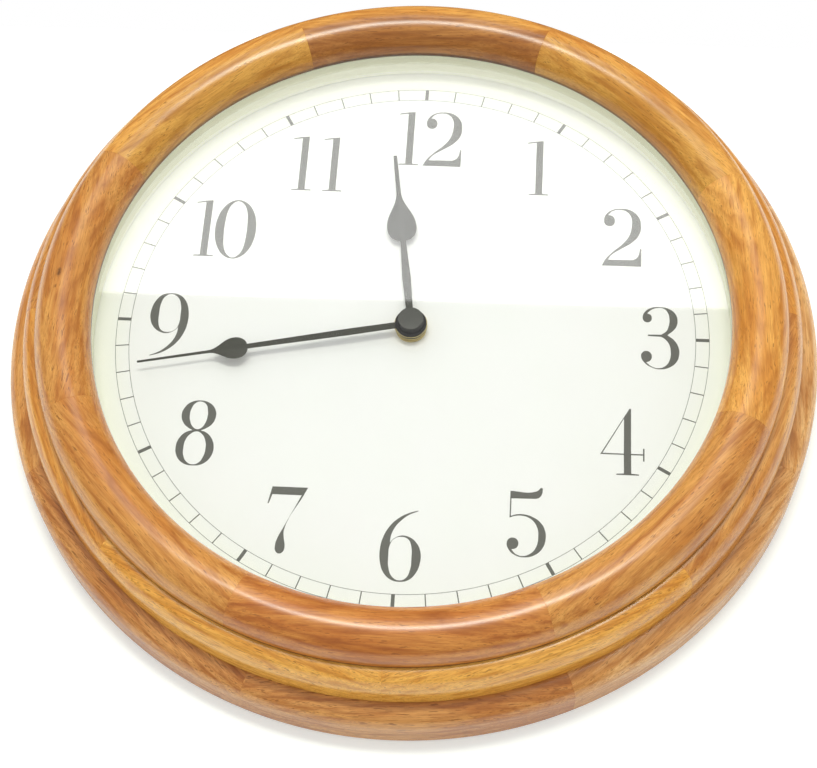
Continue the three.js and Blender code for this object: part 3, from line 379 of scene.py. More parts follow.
@dataclass(frozen=True)
class Oak(Finish):
    """Lacquered oak of one stave, cut from a board whose grain runs square to the stave's middle.

    The growth rings are cylinders about the log's heart, so the turned ring cuts them into long
    streaks and arches by itself.

    Attributes:
        tone: the board's colours.
        angle: clock angle of the stave's middle.
        heart: place of the log's heart, outwards and up.
        run_out: how fast the grain leaves the board's length, both ways.
        seed: number of the board, so that no two are alike.
        fleck: how many pores it has.
        knot: place of a small knot along and across the board, if it has one.
        painted_shade_below: height under which the wood is painted darker, as painted shade in the
            crease
        where it sits on the next tier.
        outside: lighter colours of the stave's outer side, where it has them: painted light, as
            more light falls on that side.
        lit_outside_from: radii between which the lighter, painted outer colours take over.
        ring_width: width of a year's growth.
    """

    tone: Tone
    angle: float
    heart: Pair
    run_out: Pair
    seed: float
    fleck: float = 0.5
    knot: Pair | None = None
    painted_shade_below: float = -5.0
    outside: Tone | None = None
    lit_outside_from: Pair = (169, 174)
    ring_width: float = 3.4
    slot = "oak"

    @property
    def start(self) -> float:
        """Place along the grain at which this board's noise is read."""
        return self.seed * 131.0

    def dress(self, graph: Graph) -> bpy.types.Material:
        """Build the board's colour, pores and lacquer.

        Args:
            graph: the material's empty graph.

        Returns:
            The material.
        """
        pale, deep, streak = self.tone.value
        # Painted light: the outer side of these staves takes a lighter tone, as more light falls on
        # it.
        if self.outside:
            away = graph.vector("LENGTH", graph.vector("MULTIPLY", graph.place_mm(), (1, 0, 1)))
            side = graph.span(away, *self.lit_outside_from)
            pale, deep, streak = (graph.mix(side, *pair)
                                  for pair in zip(self.tone.value, self.outside.value))
        turn = (0, -math.radians(self.angle), 0)
        board = graph.vector("ADD", graph.place_mm(turn), (self.start, 0, 0))

        def grain(stretch: Triple, detail: float, roughness: float) -> object:
            """Give noise that is drawn out along the board."""
            return graph.noise(graph.vector("MULTIPLY", board, stretch), 1, detail, roughness)

        wander = grain((0.012, 0.03, 0.03), 2, 0.55)
        sway = grain((0.05, 0.16, 0.16), 3, 0.6)
        band = grain((0.018, 0.3, 0.3), 3, 0.6)
        fibre = grain((0.07, 2.0, 2.0), 4, 0.65)
        year = graph.maths("FRACT", self.growth(graph, board, wander, sway))
        rise, fall = graph.span(year, 0.15, 0.72), graph.span(year, 0.74, 1, 1, 0)
        late = graph.maths("MULTIPLY", rise, fall)
        late = graph.maths("MULTIPLY", late, graph.span(band, 0.35, 0.62, 0.1, 0.6))
        depth = graph.span(graph.maths("ADD", wander, band), 0.84, 1.14)
        tint = graph.mix(late, graph.mix(depth, pale, deep), streak)
        tint = graph.mix(graph.span(fibre, 0.32, 0.6, 0.42, 0), tint, streak)
        pore = self.pores(graph, board, year)
        dark = self.tone.value[2]
        tint = graph.mix(graph.maths("MULTIPLY", pore, 0.7), tint, shaded(dark, 0.7))
        if self.knot:
            tint = graph.mix(self.knot_mask(graph, board), tint, shaded(dark, 0.5))
        # Painted shade: the wood under this height turns dark, in the crease where it sits on the
        # next tier.
        height = graph.maths("MULTIPLY", graph.apart(board)[1], -1)
        corner = graph.span(height, self.painted_shade_below, self.painted_shade_below - 1.2, 0, 0.75)
        tint = graph.mix(corner, tint, shaded(dark, 0.5))
        relief = graph.maths("SUBTRACT", graph.maths("MULTIPLY", fibre, 0.5), pore)
        gloss = graph.span(fibre, 0.3, 0.7, 0.4, 0.3)
        return graph.solid(tint, gloss, graph.bump(relief, 0.02, 0.35), Coat_Weight=0.9,
                           Coat_Roughness=0.27, Coat_IOR=1.72, Specular_IOR_Level=0.0)

    def growth(self, graph: Graph, board: object, wander: object, sway: object) -> object:
        """Count the growth rings from the log's heart.

        Args:
            graph: the material's graph.
            board: place in the board's axes.
            wander: slow noise that bends the rings.
            sway: faster noise that waves them.

        Returns:
            A value socket that rises by 1 from ring to ring.
        """
        along, depth, across = graph.apart(board)
        bend = graph.maths("MULTIPLY", graph.maths("SUBTRACT", wander, 0.5), 26)
        wave = graph.maths("MULTIPLY", graph.maths("SUBTRACT", sway, 0.5), 5)
        near = graph.maths("SUBTRACT", along, self.start)
        shift = [graph.maths("ADD", graph.maths("MULTIPLY", near, slope), move)
                 for slope, move in zip(self.run_out, (bend, wave))]
        out, up = self.heart
        away = graph.node("ShaderNodeCombineXYZ")
        graph.feed(away.inputs[0],
                   graph.maths("ADD", graph.maths("SUBTRACT", across, out), shift[0]))
        graph.feed(away.inputs[1], graph.maths("ADD", graph.maths("ADD", depth, up), shift[1]))
        return graph.maths("DIVIDE", graph.vector("LENGTH", away.outputs[0]), self.ring_width)

    def pores(self, graph: Graph, board: object, year: object) -> object:
        """Scatter short dark pores and flecks along the grain, most in each ring's early wood.

        Args:
            graph: the material's graph.
            board: place in the board's axes.
            year: place in the year's growth, from 0 to 1.

        Returns:
            A value socket of 0 to 1.
        """
        early = graph.span(year, 0.5, 0.05, 0.35, 1)
        dots = []
        for stretch, start in (((0.2, 2.6, 2.6), 0.66), ((0.17, 1.15, 1.15), 0.7)):
            cell = graph.noise(graph.vector("MULTIPLY", board, stretch), 1, 1, 0.5)
            start -= 0.1 * self.fleck
            dots.append(graph.span(cell, start, start + 0.07))
        return graph.maths("MULTIPLY", graph.maths("MAXIMUM", *dots), early)

    def knot_mask(self, graph: Graph, board: object) -> object:
        """Mark the dark spot of a small knot, drawn out along the grain.

        Args:
            graph: the material's graph.
            board: place in the board's axes.

        Returns:
            A value socket of 0 to 1.
        """
        along, across = self.knot
        offset = graph.vector("SUBTRACT", board, (self.start + along, 0, across))
        size = graph.vector("LENGTH", graph.vector("MULTIPLY", offset, (0.4, 0, 1)))
        ragged = graph.maths("ADD", size, graph.maths("MULTIPLY", graph.noise(board, 0.8), 1.2))
        return graph.span(ragged, 2.0, 0.9, 0, 0.75)


@dataclass(frozen=True)
class FloatGlass(Finish):
    """Clear flat glass that mirrors by its angle and lets lamps through."""

    straight_on: float = 0.08
    grazing: float = 0.92
    roughness: float = 0.02
    slot = "glass"

    def dress(self, graph: Graph) -> bpy.types.Material:
        """Mix a clear shader with a mirror by Fresnel's curve.

        Args:
            graph: the material's empty graph.

        Returns:
            The material.
        """
        facing = graph.node("ShaderNodeLayerWeight")
        facing.inputs["Blend"].default_value = 0.5
        rise = graph.maths("POWER", facing.outputs["Facing"], 5)
        share = graph.maths("ADD", graph.maths("MULTIPLY", rise, self.grazing), self.straight_on)
        haze = graph.span(graph.noise(graph.place_mm(), 0.05, 3), 0.3, 0.7)
        tint = graph.mix(haze, (255, 255, 255), (254.6, 255, 254.4))
        clear = graph.shader("ShaderNodeBsdfTransparent", Color=tint)
        mirror = graph.shader("ShaderNodeBsdfGlossy", Roughness=self.roughness)
        return graph.surface(graph.blend(share, clear, mirror))


@dataclass(frozen=True)
class DialPaper(Finish):
    """Off-white dial paper, painted yellower towards its edge as warm light from the oak ring."""

    middle: Colour = (249, 250, 248)
    margin: Colour = (251, 251, 237)
    margin_from: float = 140
    margin_to: float = 160
    slot = "dial_paper"

    def dress(self, graph: Graph) -> bpy.types.Material:
        """Build the paper's colour and fine tooth.

        Args:
            graph: the material's empty graph.

        Returns:
            The material.
        """
        at_mm = graph.place_mm()
        radius = graph.vector("LENGTH", graph.vector("MULTIPLY", at_mm, (1, 0, 1)))
        # Painted light: the paper turns yellower towards its edge for the warm light the oak ring
        # throws on it.
        painted_warm_edge = graph.span(radius, self.margin_from, self.margin_to)
        painted_warm_edge = graph.mix(painted_warm_edge, self.middle, self.margin)
        mottle = graph.span(graph.noise(at_mm, 0.03, 3), 0.3, 0.7, 0, 0.3)
        tint = graph.mix(mottle, painted_warm_edge, shaded(self.middle, 0.985))
        tooth = graph.noise(at_mm, 5, 4)
        return graph.solid(tint, graph.span(tooth, 0.3, 0.7, 0.5, 0.62), graph.bump(tooth, 0.01))


@dataclass(frozen=True)
class PrintInk(Finish):
    """Grey-black printing ink, a little uneven as it lies on the paper."""

    colour: Colour = (84, 84, 77)
    slot = "hand_paint"

    def dress(self, graph: Graph) -> bpy.types.Material:
        """Build the ink.

        Args:
            graph: the material's empty graph.

        Returns:
            The material.
        """
        cover = graph.noise(graph.place_mm(), 2.5, 4)
        tint = graph.mix(graph.span(cover, 0.35, 0.7), self.colour, shaded(self.colour, 1.22))
        return graph.solid(tint, graph.span(cover, 0.3, 0.7, 0.5, 0.6), graph.bump(cover, 0.004))


@dataclass(frozen=True)
class BlackPaint(Finish):
    """Satin black paint on pressed sheet, with a faint orange peel."""

    colour: Colour = (64, 64, 56)
    slot = "hand_paint"

    def dress(self, graph: Graph) -> bpy.types.Material:
        """Build the paint.

        Args:
            graph: the material's empty graph.

        Returns:
            The material.
        """
        at_mm = graph.place_mm()
        peel = graph.noise(at_mm, 1.6, 3)
        tint = graph.mix(graph.span(peel, 0.3, 0.7), self.colour, shaded(self.colour, 1.15))
        return graph.solid(tint, graph.span(peel, 0.3, 0.7, 0.36, 0.46), graph.bump(peel, 0.006),
                           Specular_IOR_Level=0.15)


@dataclass(frozen=True)
class Metal(Finish):
    """Turned, rolled or plated metal with fine lines along one axis and dull patches."""

    colour: Colour
    slot: str
    lines: Triple = (0.2, 6.0, 0.2)
    rough: Pair = (0.24, 0.42)
    spangle: float = 0.0
    metallic: float = 1.0

    def dress(self, graph: Graph) -> bpy.types.Material:
        """Build the metal.

        Args:
            graph: the material's empty graph.

        Returns:
            The material.
        """
        at_mm = graph.place_mm()
        line = graph.noise(graph.vector("MULTIPLY", at_mm, self.lines), 1, 3)
        patch = graph.noise(at_mm, 0.25, 3)
        tint = graph.mix(graph.span(patch, 0.35, 0.7), self.colour, shaded(self.colour, 0.86))
        if self.spangle:
            crystal = graph.cells(at_mm, 0.4).outputs["Color"]
            tint = graph.mix(self.spangle, tint, crystal, "OVERLAY")
        gloss = graph.span(graph.maths("ADD", line, patch), 0.7, 1.3, *self.rough)
        return graph.solid(tint, gloss, graph.bump(line, 0.004), Metallic=self.metallic)


@dataclass(frozen=True)
class Plastic(Finish):
    """Moulded plastic with a fine spark-eroded grain."""

    colour: Colour
    slot: str
    rough: Pair = (0.42, 0.55)
    grain: float = 4.0
    depth: float = 0.012

    def dress(self, graph: Graph) -> bpy.types.Material:
        """Build the plastic.

        Args:
            graph: the material's empty graph.

        Returns:
            The material.
        """
        at_mm = graph.place_mm()
        grain = graph.noise(at_mm, self.grain, 3)
        cloud = graph.noise(at_mm, 0.12, 2)
        tint = graph.mix(graph.span(cloud, 0.3, 0.7), self.colour, shaded(self.colour, 0.93))
        gloss = graph.span(grain, 0.3, 0.7, *self.rough)
        return graph.solid(tint, gloss, graph.bump(grain, self.depth))


@dataclass(frozen=True)
class Hardboard(Finish):
    """Brown hardboard whose rough side keeps the print of the wire screen it was pressed on."""

    colour: Colour = (116, 80, 50)
    pitch: float = 1.3
    slot = "hardboard"

    def dress(self, graph: Graph) -> bpy.types.Material:
        """Build the fibres and the screen's print.

        Args:
            graph: the material's empty graph.

        Returns:
            The material.
        """
        at_mm = graph.place_mm()
        across, _, up = graph.apart(at_mm)
        waves = [graph.maths("SINE", graph.maths("MULTIPLY", part, math.tau / self.pitch))
                 for part in (across, up)]
        weave = graph.span(graph.maths("MULTIPLY", *waves), -1, 1)
        fibre = graph.noise(graph.vector("MULTIPLY", at_mm, (0.9, 0.9, 0.5)), 1, 5, 0.7, 1.2)
        tint = graph.mix(graph.span(fibre, 0.32, 0.68), self.colour, shaded(self.colour, 1.35))
        tint = graph.mix(graph.maths("MULTIPLY", weave, 0.3), tint, shaded(self.colour, 0.6))
        relief = graph.maths("ADD", graph.maths("MULTIPLY", fibre, 0.6), weave)
        return graph.solid(tint, 0.78, graph.bump(relief, 0.08))


@dataclass(frozen=True)
class Card(Finish):
    """Pale card of the spacer between dial and glass."""

    colour: Colour = (248, 250, 226)
    slot = "card"

    def dress(self, graph: Graph) -> bpy.types.Material:
        """Build the card's fibres.

        Args:
            graph: the material's empty graph.

        Returns:
            The material.
        """
        fibre = graph.noise(graph.place_mm(stretch=(1, 3, 1)), 1.2, 4, 0.7)
        tint = graph.mix(graph.span(fibre, 0.3, 0.7), self.colour, shaded(self.colour, 0.95))
        return graph.solid(tint, 0.8, graph.bump(fibre, 0.02))


@dataclass(frozen=True)
class Rubber(Finish):
    """Black rubber with a dusty bloom."""

    colour: Colour = (36, 36, 37)
    slot = "washer_rubber"

    def dress(self, graph: Graph) -> bpy.types.Material:
        """Build the rubber.

        Args:
            graph: the material's empty graph.

        Returns:
            The material.
        """
        bloom = graph.noise(graph.place_mm(), 0.9, 4)
        tint = graph.mix(graph.span(bloom, 0.45, 0.75), self.colour, (74, 74, 74))
        return graph.solid(tint, graph.span(bloom, 0.3, 0.7, 0.7, 0.85), graph.bump(bloom, 0.01))


@dataclass(frozen=True)
class CopperWinding(Finish):
    """Fine enamelled wire wound turn against turn."""

    wire: float = 0.22
    slot = "copper_wire"

    def dress(self, graph: Graph) -> bpy.types.Material:
        """Build the turns of wire.

        Args:
            graph: the material's empty graph.

        Returns:
            The material.
        """
        at_mm = graph.place_mm()
        _, _, up = graph.apart(at_mm)
        turns = graph.maths("SINE", graph.maths("MULTIPLY", up, math.tau / self.wire))
        turns = graph.span(turns, -1, 1)
        # Darker between the turns: painted shade in the grooves between the round wires.
        tint = graph.mix(turns, (112, 48, 22), (206, 112, 62))
        return graph.solid(tint, 0.32, graph.bump(turns, 0.03), Metallic=0.85, Coat_Weight=0.5)


@dataclass(frozen=True)
class CircuitLaminate(Finish):
    """Green lacquered circuit board with copper tracks under the lacquer."""

    slot = "circuit_board"

    def dress(self, graph: Graph) -> bpy.types.Material:
        """Build the tracks and the lacquer.

        Args:
            graph: the material's empty graph.

        Returns:
            The material.
        """
        at_mm = graph.place_mm()
        edges = graph.cells(at_mm, 0.5, "DISTANCE_TO_EDGE").outputs[0]
        track = graph.span(edges, 0.10, 0.14, 1, 0)
        tint = graph.mix(track, (28, 84, 52), (72, 132, 74))
        return graph.solid(tint, 0.35, graph.bump(track, 0.03), Coat_Weight=0.6, Coat_Roughness=0.1)


@dataclass(frozen=True)
class BatteryWrap(Finish):
    """Printed foil sleeve of a plain dry cell, with a pale band at its plus end."""

    band_from: float
    slot = "battery_wrap"

    def dress(self, graph: Graph) -> bpy.types.Material:
        """Build the sleeve's two bands and its fine scuffs.

        Args:
            graph: the material's empty graph.

        Returns:
            The material.
        """
        at_mm = graph.place_mm()
        across, _, _ = graph.apart(at_mm)
        band = graph.span(across, self.band_from, self.band_from + 0.1)
        scuff = graph.noise(graph.vector("MULTIPLY", at_mm, (0.3, 3, 3)), 1, 4)
        tint = graph.mix(band, (36, 92, 78), (206, 202, 186))
        tint = graph.mix(graph.span(scuff, 0.6, 0.75, 0, 0.35), tint, (150, 156, 150))
        return graph.solid(tint, graph.span(scuff, 0.3, 0.7, 0.24, 0.36), graph.bump(scuff, 0.006),
                           Metallic=0.25, Coat_Weight=0.4)


BRASS = Metal((236, 218, 156), "brass", (4.0, 0.3, 4.0), (0.2, 0.34), metallic=0.4)
ZINC = Metal((182, 184, 186), "zinc_steel", (1.0, 1.0, 1.0), (0.3, 0.46), spangle=0.25)
STATOR_STEEL = Metal((142, 142, 146), "stator_steel", (0.2, 9.0, 3.0), (0.34, 0.5))
MAGNET = Metal((70, 68, 70), "magnet", (1.5, 1.5, 1.5), (0.5, 0.65))
CASE_PLASTIC = Plastic((34, 34, 35), "case_plastic")
KNOB_PLASTIC = Plastic((52, 52, 54), "case_plastic", (0.36, 0.48), 6.0, 0.006)
CAP_PLASTIC = Plastic((70, 70, 62), "cap_plastic", (0.3, 0.4), 5.0, 0.003)
GEAR_PLASTIC = Plastic((232, 228, 214), "gear_plastic", (0.3, 0.42), 2.0, 0.003)


class Mesh:
    """A mesh under construction in metres, in the frame's axes."""

    def __init__(self) -> None:
        """Start an empty mesh."""
        self.bm = bmesh.new()

    def loop(self, points: Iterable[Vector]) -> list[bmesh.types.BMVert]:
        """Add the points of a loop."""
        return [self.bm.verts.new(point) for point in points]

    def bridge(self, one: list[bmesh.types.BMVert], other: list[bmesh.types.BMVert]) -> None:
        """Join two loops that have the same number of points with a band of faces.

        Args:
            one: the first loop.
            other: the second.
        """
        for i in range(len(one)):
            j = (i + 1) % len(one)
            self.bm.faces.new((one[i], one[j], other[j], other[i]))

    def sweep(self, sections: Iterable[Iterable[Vector]]) -> "Mesh":
        """Skin a row of closed sections and close both ends.

        Args:
            sections: the sections, each a loop with the same number of points.

        Returns:
            This mesh.
        """
        loops = [self.loop(section) for section in sections]
        for one, other in zip(loops, loops[1:]):
            self.bridge(one, other)
        self.bm.faces.new(reversed(loops[0]))
        self.bm.faces.new(loops[-1])
        return self

    def lathe(self, profile: Sequence[Pair], centre: Pair = (0, 0), steps: int = 96) -> "Mesh":
        """Turn a profile about an axis square to the wall.

        Args:
            profile: radius and height of each point. One that starts and ends at radius 0 gives a
                solid body, any other a closed ring.
            centre: the axis, across and up from the hands' axis.
            steps: faces round the axis.

        Returns:
            This mesh.
        """
        solid_body = profile[0][0] == 0 and profile[-1][0] == 0
        turns = [math.tau * i / steps for i in range(steps)]
        rings = []
        for radius, height in profile[1:-1] if solid_body else profile:
            rings.append(self.loop(place(centre[0] + radius * math.cos(turn),
                                         centre[1] + radius * math.sin(turn), height)
                                   for turn in turns))
        for one, other in zip(rings, rings[1:]):
            self.bridge(one, other)
        if not solid_body:
            self.bridge(rings[-1], rings[0])
            return self
        for ring, height in ((rings[0], profile[0][1]), (rings[-1], profile[-1][1])):
            tip = self.bm.verts.new(place(*centre, height))
            for i in range(steps):
                self.bm.faces.new((ring[i], ring[(i + 1) % steps], tip))
        return self

    def prism(self, outline: Sequence[Pair], low: float, high: float) -> "Mesh":
        """Raise a flat outline, across and up from the hands' axis, between two heights."""
        return self.sweep((place(*point, height) for point in outline) for height in (low, high))

    def done(self, name: str) -> bpy.types.Object:
        """Point the faces outward, put the mesh in the scene and return the new object."""
        bmesh.ops.recalc_face_normals(self.bm, faces=self.bm.faces)
        return shown(name, self.data(name))

    def data(self, name: str) -> bpy.types.Mesh:
        """Turn the construction into mesh data of this name and let it go.

        Args:
            name: the data's name.

        Returns:
            The mesh data.
        """
        data = bpy.data.meshes.new(name)
        self.bm.to_mesh(data)
        self.bm.free()
        return data


def smoothed(data: bpy.types.Mesh) -> bpy.types.Mesh:
    """Give a mesh smooth curves and sharp corners.

    Args:
        data: the mesh.

    Returns:
        The same mesh.
    """
    data.polygons.foreach_set("use_smooth", [True] * len(data.polygons))
    data.set_sharp_from_angle(angle=SMOOTH_ANGLE)
    return data


def shown(name: str, data: bpy.types.ID) -> bpy.types.Object:
    """Put a mesh, a curve, a lamp or a camera in the scene.

    Args:
        name: the object's name.
        data: what it is. A mesh gets smooth curves and sharp corners.

    Returns:
        The object.
    """
    if isinstance(data, bpy.types.Mesh):
        smoothed(data)
    made = bpy.data.objects.new(name, data)
    bpy.context.scene.collection.objects.link(made)
    return made


def evaluated(obj: bpy.types.Object) -> bpy.types.Mesh:
    """Give an object's mesh with its modifiers applied."""
    graph = bpy.context.evaluated_depsgraph_get()
    return bpy.data.meshes.new_from_object(obj.evaluated_get(graph), depsgraph=graph)


def settled(obj: bpy.types.Object) -> bpy.types.Object:
    """Apply an object's modifiers to its mesh.

    Args:
        obj: the object.

    Returns:
        The same object.
    """
    data = evaluated(obj)
    obj.modifiers.clear()
    obj.data = smoothed(data)
    return obj


def carve(obj: bpy.types.Object, tools: list[bpy.types.Object]) -> bpy.types.Object:
    """Cut tools out of an object and remove them.

    Args:
        obj: the object to cut.
        tools: the objects that it loses.

    Returns:
        The cut object.
    """
    for tool in tools:
        cut = obj.modifiers.new("cut", "BOOLEAN")
        cut.operation = "DIFFERENCE"
        cut.solver = "EXACT"
        cut.object = tool
    settled(obj)
    for tool in tools:
        bpy.data.objects.remove(tool)
    return obj


def bevelled(obj: bpy.types.Object, width: float) -> bpy.types.Object:
    """Round the sharp edges of an object.

    Args:
        obj: the object.
        width: width of the rounding.

    Returns:
        The object.
    """
    bevel = obj.modifiers.new("bevel", "BEVEL")
    bevel.width = width * MM
    bevel.segments = 2
    bevel.limit_method = "ANGLE"
    bevel.angle_limit = SMOOTH_ANGLE
    bevel.use_clamp_overlap = True
    return settled(obj)


def refined(node: str, name: str, width: float) -> bpy.types.Object:
    """Copy a node's mesh into a new piece with whole faces and rounded edges.

    Args:
        node: the node's name.
        name: the new piece's name.
        width: width of the rounding.

    Returns:
        The new piece.
    """
    mesh = Mesh()
    bm = mesh.bm
    bm.from_mesh(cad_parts[node].data)
    bmesh.ops.remove_doubles(bm, verts=bm.verts, dist=0.001 * MM)
    bmesh.ops.dissolve_limit(bm, angle_limit=math.radians(0.5), verts=bm.verts, edges=bm.edges)
    return bevelled(shown(name, mesh.data(name)), width)


def flat_shape(name: str, loops: Sequence[Outline], low: float, high: float) -> bpy.types.Object:
    """Fill flat outlines, with holes where one lies in another, and raise them to a thickness.

    Args:
        name: the object's name.
        loops: the closed outlines.
        low: lower height over the wall.
        high: upper height.

    Returns:
        The object.
    """
    curve = bpy.data.curves.new(name, "CURVE")
    curve.dimensions = "2D"
    curve.fill_mode = "BOTH"
    curve.resolution_u = 6
    curve.extrude = (high - low) / 2 * MM
    for loop in loops:
        spline = curve.splines.new("BEZIER")
        spline.bezier_points.add(len(loop) - 1)
        spline.use_cyclic_u = True
        for point, (across, up, corner) in zip(spline.bezier_points, loop):
            point.co = (across * MM, up * MM, 0)
            point.handle_left_type = point.handle_right_type = "VECTOR" if corner else "AUTO"
    drawn = shown(name, curve)
    data = evaluated(drawn)
    bpy.data.objects.remove(drawn)
    upright = Matrix.Rotation(math.pi / 2, 4, "X")
    data.transform(Matrix.Translation(place(0, 0, (low + high) / 2)) @ upright)
    return shown(name, data)


def arc_profile(centre: Pair, radii: Pair, start: float, end: float, steps: int) -> list[Pair]:
    """Give the points of an arc in a section.

    Args:
        centre: radius and height of the arc's centre.
        radii: its half axes, outwards and up.
        start: first angle in degrees, from outwards towards up.
        end: last angle.
        steps: number of spans.

    Returns:
        Radius and height of each point.
    """
    turns = [math.radians(start + (end - start) * i / steps) for i in range(steps + 1)]
    return [(centre[0] + radii[0] * math.cos(turn), centre[1] + radii[1] * math.sin(turn))
            for turn in turns]


def cross_tools(centre: Pair, arm: Pair, low: float, high: float) -> list[bpy.types.Object]:
    """Make the two blades that cut a cross recess in a screw's head.

    Args:
        centre: the screw's axis.
        arm: length and width of each arm.
        low: lower height.
        high: upper height.

    Returns:
        Two cutting solids.
    """
    reach, width = arm
    tools = []
    for turn in (math.radians(25), math.radians(115)):
        along = Vector((math.cos(turn), math.sin(turn)))
        beside = Vector((-along.y, along.x)) * width / 2
        middle = Vector(centre)
        corners = [middle + side * beside + end * reach * along
                   for end, side in ((-1, -1), (1, -1), (1, 1), (-1, 1))]
        tools.append(Mesh().prism([tuple(corner) for corner in corners], low, high).done("blade"))
    return tools


@dataclass
class Assembly:
    """A group of pieces that are made, dressed and hung on their bodies together."""

    pieces: list[bpy.types.Object] = field(default_factory=list, init=False)

    def dress(self, obj: bpy.types.Object, finish: Finish) -> None:
        """Give an object its finish and list it as one of the pieces.

        Args:
            obj: the object.
            finish: its finish.
        """
        obj.data.materials.clear()
        obj.data.materials.append(finish.material())
        self.pieces.append(obj)

    def fit(self, obj: bpy.types.Object, finish: Finish, body: str, *nodes: str) -> None:
        """Dress a piece and hang it on its body.

        Args:
            obj: the piece.
            finish: its finish.
            body: the body that it rides on.
            *nodes: the nodes that it replaces.
        """
        self.dress(obj, finish)
        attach(obj, body)
        if nodes:
            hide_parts(*nodes)

    def dress_node(self, node: str, finish: Finish) -> None:
        """Give a node that stays as it is a finish."""
        self.dress(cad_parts[node], finish)

    def build(self) -> None:
        """Make all pieces."""
        raise NotImplementedError


@dataclass
class Tier:
    """One layer of staves.

    Attributes:
        name: what its staves are called.
        profile: its section.
        joints: clock angles of its joints.
        boards: tone, the log's heart, the run-out and the flecks of each stave.
        painted_shade_below: height under which its wood is painted darker, as painted shade in the
            crease on
        the next tier.
    """

    name: str
    profile: list[Pair]
    joints: tuple[float, ...]
    boards: list[tuple[Tone, Pair, Pair, float]]
    painted_shade_below: float = Oak.painted_shade_below


